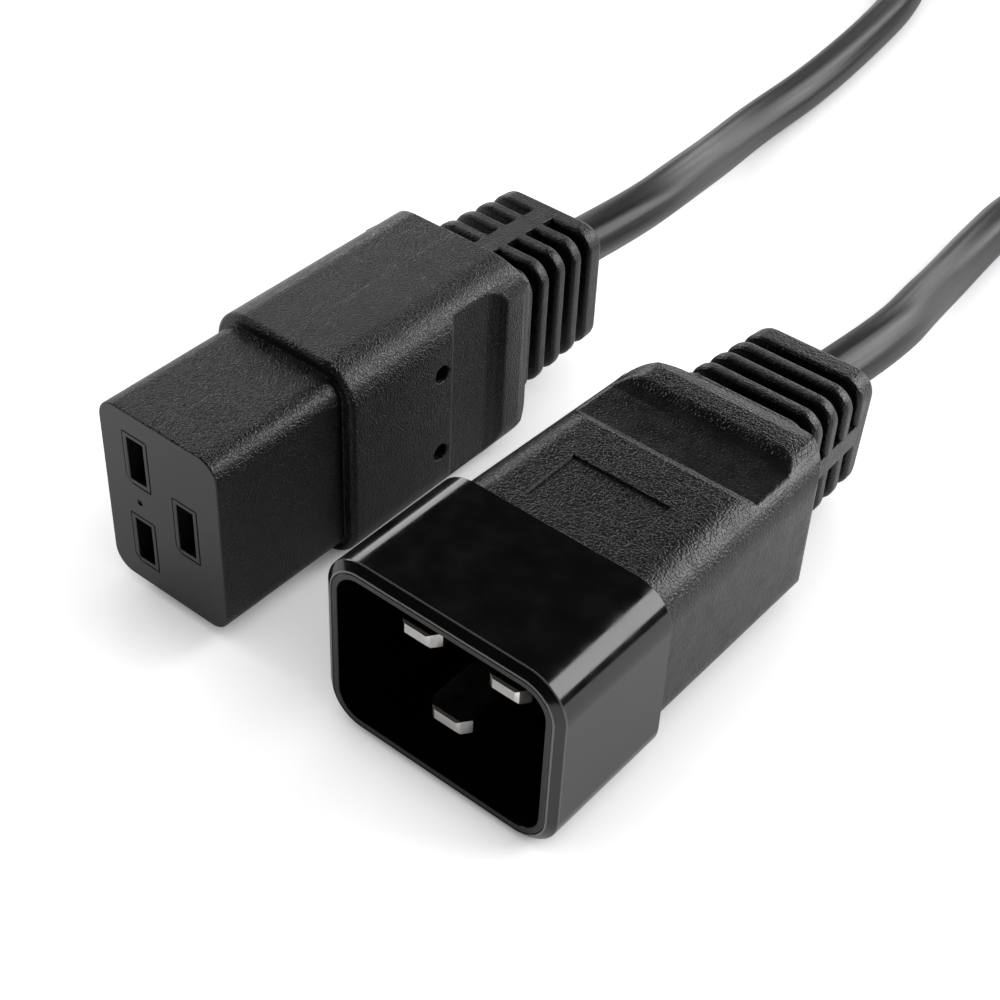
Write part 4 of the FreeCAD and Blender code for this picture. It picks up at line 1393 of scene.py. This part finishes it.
@dataclass
class Cord:
    """The one cord between the two ends, most of its length in a flat round coil, and the coil's tie.

    The coil winds in from wide to narrow in its lower layer and out again in its upper one. Each layer
    turns through an angle in degrees, and rises to the other within its last few, the climb.
    """

    across: float = 7.6 * MM
    outlet: Place = (0.0, 38.35 * MM, 15.45 * MM)
    centre: tuple[float, float] = (20.0 * MM, 243.65 * MM)
    wide: float = 47.35 * MM
    narrow: float = 30.25 * MM
    low: float = 4.3 * MM
    high: float = 11.9 * MM
    steps: int = 16
    turned: float = 810.0
    climb: float = 60.0
    lobe: float = 0.050
    ripple: float = 0.010
    first_valley: float = -106.0
    last_valley: float = 830.0
    around: int = 36
    tie_corner: float = 2.4 * MM
    tie_thick: float = 0.6 * MM
    sheath: CordSheath = CordSheath("cord_sheath")
    band: HardPlastic = HardPlastic("tie_band", (0.018, 0.018, 0.018), (0.032, 0.032, 0.032), 0.5)
    line: list[Vector] = field(default_factory=list)
    along: float = 0.0

    def coil_points(self) -> list[Place]:
        """Give the coil's own control points: one layer winding in, one above it winding out.

        Returns:
            The points in metres.
        """
        pitch = 360.0 / self.steps
        ease = math.cos(math.radians(pitch / 2)) ** 2 * 0.5 + 0.5
        count = round(self.turned / pitch)
        points = []
        for layer, start in enumerate((180.0, 90.0)):
            for step in range(layer, count + 1):
                share = step / count
                angle = math.radians(start - share * self.turned)
                inward = share if layer == 0 else 1.0 - share
                radius = (self.wide + (self.narrow - self.wide) * inward) / ease
                rise = max(0.0, 1.0 - (1.0 - inward) * self.turned / self.climb)
                part = 0.5 * rise if layer == 0 else 1.0 - 0.5 * rise
                height = self.low + (self.high - self.low) * part
                x = self.centre[0] + radius * math.cos(angle)
                y = self.centre[1] + radius * math.sin(angle)
                points.append((x, y, height))
        return points

    def route(self) -> list[Place]:
        """Give all of the cord's control points, from the connector to the plug.

        Returns:
            The points in metres.
        """
        first = [(x * MM, y * MM, z * MM) for x, y, z in CONNECTOR_RUN]
        last = [(x * MM, y * MM, z * MM) for x, y, z in PLUG_RUN]
        return first + self.coil_points() + last

    def centreline(self) -> list[Vector]:
        """Draw the route as one NURBS spline and read its line back.

        Returns:
            The points along the spline.
        """
        points = self.route()
        curve = bpy.data.curves.new("cord_route", "CURVE")
        curve.dimensions = "3D"
        curve.resolution_u = 8
        spline = curve.splines.new("NURBS")
        spline.points.add(len(points) - 1)
        for knot, point in zip(spline.points, points):
            knot.co = (*point, 1.0)
        spline.order_u = 3
        spline.use_endpoint_u = True
        drawn = bpy.data.objects.new("cord_route", curve)
        bpy.context.scene.collection.objects.link(drawn)
        bpy.context.view_layer.update()
        mesh = bpy.data.meshes.new_from_object(drawn)
        line = [vertex.co.copy() for vertex in mesh.vertices]
        bpy.data.objects.remove(drawn)
        bpy.data.meshes.remove(mesh)
        return line

    def section(self, turn: float) -> float:
        """Give the sheath's radius at a turn from a valley, fuller over each of its three wires."""
        dip = self.lobe * (1.0 + math.cos(3 * turn)) + self.ripple * math.cos(6 * turn)
        return self.across / 2 * (1.0 - dip)

    def build_tube(self) -> bpy.types.Object:
        """Lay the sheath round the centreline, its lobes slowly turning along it.

        Returns:
            The cord.
        """
        line = self.centreline()
        forward = [(b - a).normalized() for a, b in zip(line, line[1:])]
        forward.append(forward[-1].copy())
        side = Vector((1.0, 0.0, 0.0))
        steps = [0.0] + [(b - a).length for a, b in zip(line, line[1:])]
        whole, along, rings, verts = sum(steps), 0.0, [], []
        for point, way, step_on in zip(line, forward, steps):
            along += step_on
            side = (side - way * side.dot(way)).normalized()
            up = way.cross(side)
            rings.append(along)
            valley = math.radians(self.first_valley + (self.last_valley - self.first_valley) * along / whole)
            for step in range(self.around):
                turn = 2 * math.pi * step / self.around
                radius = self.section(turn - valley)
                verts.append(point + radius * (math.cos(turn) * side + math.sin(turn) * up))
        self.line, self.along = line, along
        cord = self.close_tube(verts, rings)
        add_piece(cord, self.sheath.make(), "cord_sheath", "cord_connector_run", "cord_coil", "cord_plug_run")
        LOG.info("cord: centreline %.3f m", along)
        return cord

    def close_tube(self, verts: list[Vector], rings: list[float]) -> bpy.types.Object:
        """Join rings of points into a closed tube with a UV map along it.

        Args:
            verts: The points, ring by ring.
            rings: How far along the cord each ring lies, in metres.

        Returns:
            The tube.
        """
        faces, marks = [], []
        for ring in range(len(rings) - 1):
            for step in range(self.around):
                after = (step + 1) % self.around
                low, high = ring * self.around, (ring + 1) * self.around
                faces.append((low + step, low + after, high + after, high + step))
                u, v = step / self.around, (step + 1) / self.around
                marks.append(((u, rings[ring]), (v, rings[ring]), (v, rings[ring + 1]), (u, rings[ring + 1])))
        last = (len(rings) - 1) * self.around
        faces.append(tuple(reversed(range(self.around))))
        faces.append(tuple(range(last, last + self.around)))
        marks += [((0.5, rings[0]),) * self.around, ((0.5, rings[-1]),) * self.around]
        mesh = bpy.data.meshes.new("cord")
        mesh.from_pydata(verts, [], faces)
        chart = mesh.uv_layers.new(name="along")
        chart.data.foreach_set("uv", [number for face in marks for spot in face for number in spot])
        tube = bpy.data.objects.new("cord", mesh)
        bpy.context.scene.collection.objects.link(tube)
        smooth(tube, 60.0)
        return tube

    def build_tie(self) -> bpy.types.Object:
        """Close a flat band round the coil's turns.

        Returns:
            The tie.
        """
        low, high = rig.box("coil_tie")
        middle, size = (low + high) / 2, high - low
        deselect_all()
        bpy.ops.mesh.primitive_cube_add(size=1.0, location=middle)
        tie = bpy.context.object
        tie.name = tie.data.name = "coil_band"
        tie.scale = size
        bpy.context.view_layer.update()
        settle(tie)
        thin = Axis.X if size.x < size.y else Axis.Y
        begin_edit(tie)
        select_faces(tie, lambda place, normal: abs(normal[thin.value]) > 0.9)
        bpy.ops.mesh.delete(type="FACE")
        end_edit()
        begin_edit(tie, "EDGE")
        select_edges(tie, lambda place, way: abs(way[thin.value]) > 0.9)
        bpy.ops.mesh.bevel(offset=self.tie_corner, segments=6, affect="EDGES")
        end_edit()
        apply_modifier(tie, "SOLIDIFY", thickness=self.tie_thick, offset=-1.0)
        apply_modifier(tie, "BEVEL", width=0.12 * MM, segments=2, limit_method="ANGLE")
        smooth(tie)
        add_piece(tie, self.band.make(), "tie", "coil_tie")
        return tie

    def build(self) -> None:
        cord = self.build_tube()
        tie = self.build_tie()
        names = ["plug_skin", "plug_shell", *(f"{pole}_blade" for pole in POLES)]
        for pole in POLES:
            names += [f"plug_{pole}_conductor", f"plug_{pole}_core"]
        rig.cord(
            cord,
            exit=self.outlet,
            length=self.along,
            diameter=self.across,
            far_end="plug",
            stiffness="medium",
            lay="coiled",
            path=self.line,
            with_pieces=[tie, *names],
        )


# ---------------------------------------------------------------- the studio


@dataclass(frozen=True)
class Softbox:
    """One soft light, with its place from the scene's middle, its size in metres and its power in watts."""

    name: str
    away: Place
    size: Range
    power: float

    def hang(self, middle: Vector) -> None:
        """Hang the light, facing the scene's middle.

        Args:
            middle: The scene's middle.
        """
        data = bpy.data.lights.new(self.name, "AREA")
        data.shape = "RECTANGLE"
        data.size, data.size_y = self.size
        data.energy = self.power
        light = bpy.data.objects.new(self.name, data)
        bpy.context.scene.collection.objects.link(light)
        place = middle + Vector(self.away)
        light.location = place
        light.rotation_euler = (middle - place).to_track_quat("-Z", "Y").to_euler()


SOFTBOXES = (
    Softbox("rear_right", (0.60, 0.73, 0.57), (0.9, 0.6), 10.5),
    Softbox("rear_low", (0.0, 1.20, 0.22), (1.2, 0.3), 3.6),
    Softbox("rear_left", (-0.79, 0.66, 0.38), (0.4, 0.35), 1.7),
    Softbox("left", (-1.10, 0.0, 0.50), (0.8, 0.5), 4.6),
)


@dataclass
class Studio:
    """The table, the soft light over it and the camera."""

    lens: float = 67.604
    eye: Place = (136.334 * MM, -148.252 * MM, 169.402 * MM)
    right: Place = (0.77109851, 0.63557793, 0.03804958)
    up: Place = (-0.44032962, 0.48914583, 0.75289188)
    back: Place = (0.45990967, -0.59730817, 0.65704342)
    middle: Place = (20 * MM, 0.0, 10 * MM)
    table_radius: float = 5.0
    table_low: float = -0.02 * MM
    near_table: tuple[float, float] = (0.10, 0.06)
    overhead: tuple[float, float] = (0.55, 0.025)
    table: TableTop = TableTop("table_top")

    def build_camera(self) -> None:
        """Set the camera at its place and angle."""
        data = bpy.data.cameras.new("camera")
        data.lens = self.lens
        data.sensor_width = 36.0
        data.clip_start = 0.005
        data.clip_end = 30.0
        camera = bpy.data.objects.new("camera", data)
        bpy.context.scene.collection.objects.link(camera)
        turn = Matrix((self.right, self.up, self.back)).transposed().to_4x4()
        camera.matrix_world = Matrix.Translation(self.eye) @ turn
        bpy.context.scene.camera = camera

    def build_table(self) -> None:
        """Lay a wide table under the object."""
        deselect_all()
        bpy.ops.mesh.primitive_circle_add(
            vertices=64, radius=self.table_radius, fill_type="NGON", location=(0, 0, self.table_low)
        )
        table = bpy.context.object
        table.name = table.data.name = "table"
        settle(table)
        table.data.materials.append(self.table.make())
        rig.stage(table)

    def build_world(self) -> None:
        """Light the room: dim all round, a little paler near the table, and white where it is seen."""
        world = bpy.data.worlds.new("room")
        bpy.context.scene.world = world
        world.use_nodes = True
        tree = world.node_tree
        tree.nodes.clear()
        output, place, split, ramp, path, either, room, white = (
            tree.nodes.new(f"ShaderNode{kind}")
            for kind in ("OutputWorld", "TexCoord", "SeparateXYZ", "ValToRGB", "LightPath", "MixShader")
            + 2 * ("Background",)
        )
        for stop, (height, level) in zip(ramp.color_ramp.elements, (self.near_table, self.overhead)):
            stop.position = height
            stop.color = (level, level, level, 1.0)
        white.inputs["Color"].default_value = (1.0, 1.0, 1.0, 1.0)
        for source, target in (
            (place.outputs["Generated"], split.inputs["Vector"]),
            (split.outputs["Z"], ramp.inputs["Fac"]),
            (ramp.outputs["Color"], room.inputs["Color"]),
            (path.outputs["Is Camera Ray"], either.inputs["Fac"]),
            (room.outputs["Background"], either.inputs[1]),
            (white.outputs["Background"], either.inputs[2]),
            (either.outputs["Shader"], output.inputs["Surface"]),
        ):
            tree.links.new(source, target)

    def build(self) -> None:
        """Set up the whole studio."""
        self.build_camera()
        self.build_table()
        self.build_world()
        for softbox in SOFTBOXES:
            softbox.hang(Vector(self.middle))
        bpy.context.scene.view_settings.view_transform = "Standard"


def main() -> None:
    """Build every sub-assembly in order and write the two sizes."""
    logging.basicConfig(level=logging.INFO, format="%(name)s: %(message)s")
    for assembly in (Studio(), Connector(), Plug(), Wires(), Cord()):
        assembly.build()
    measured = {"cad": CAD_BOX, "visual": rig.bounds()}
    boxes = {name: [list(corner) for corner in box] for name, box in measured.items()}
    with open("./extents.json", "w", encoding="utf-8") as out:
        json.dump(boxes, out)


if __name__ == "__main__":
    main()
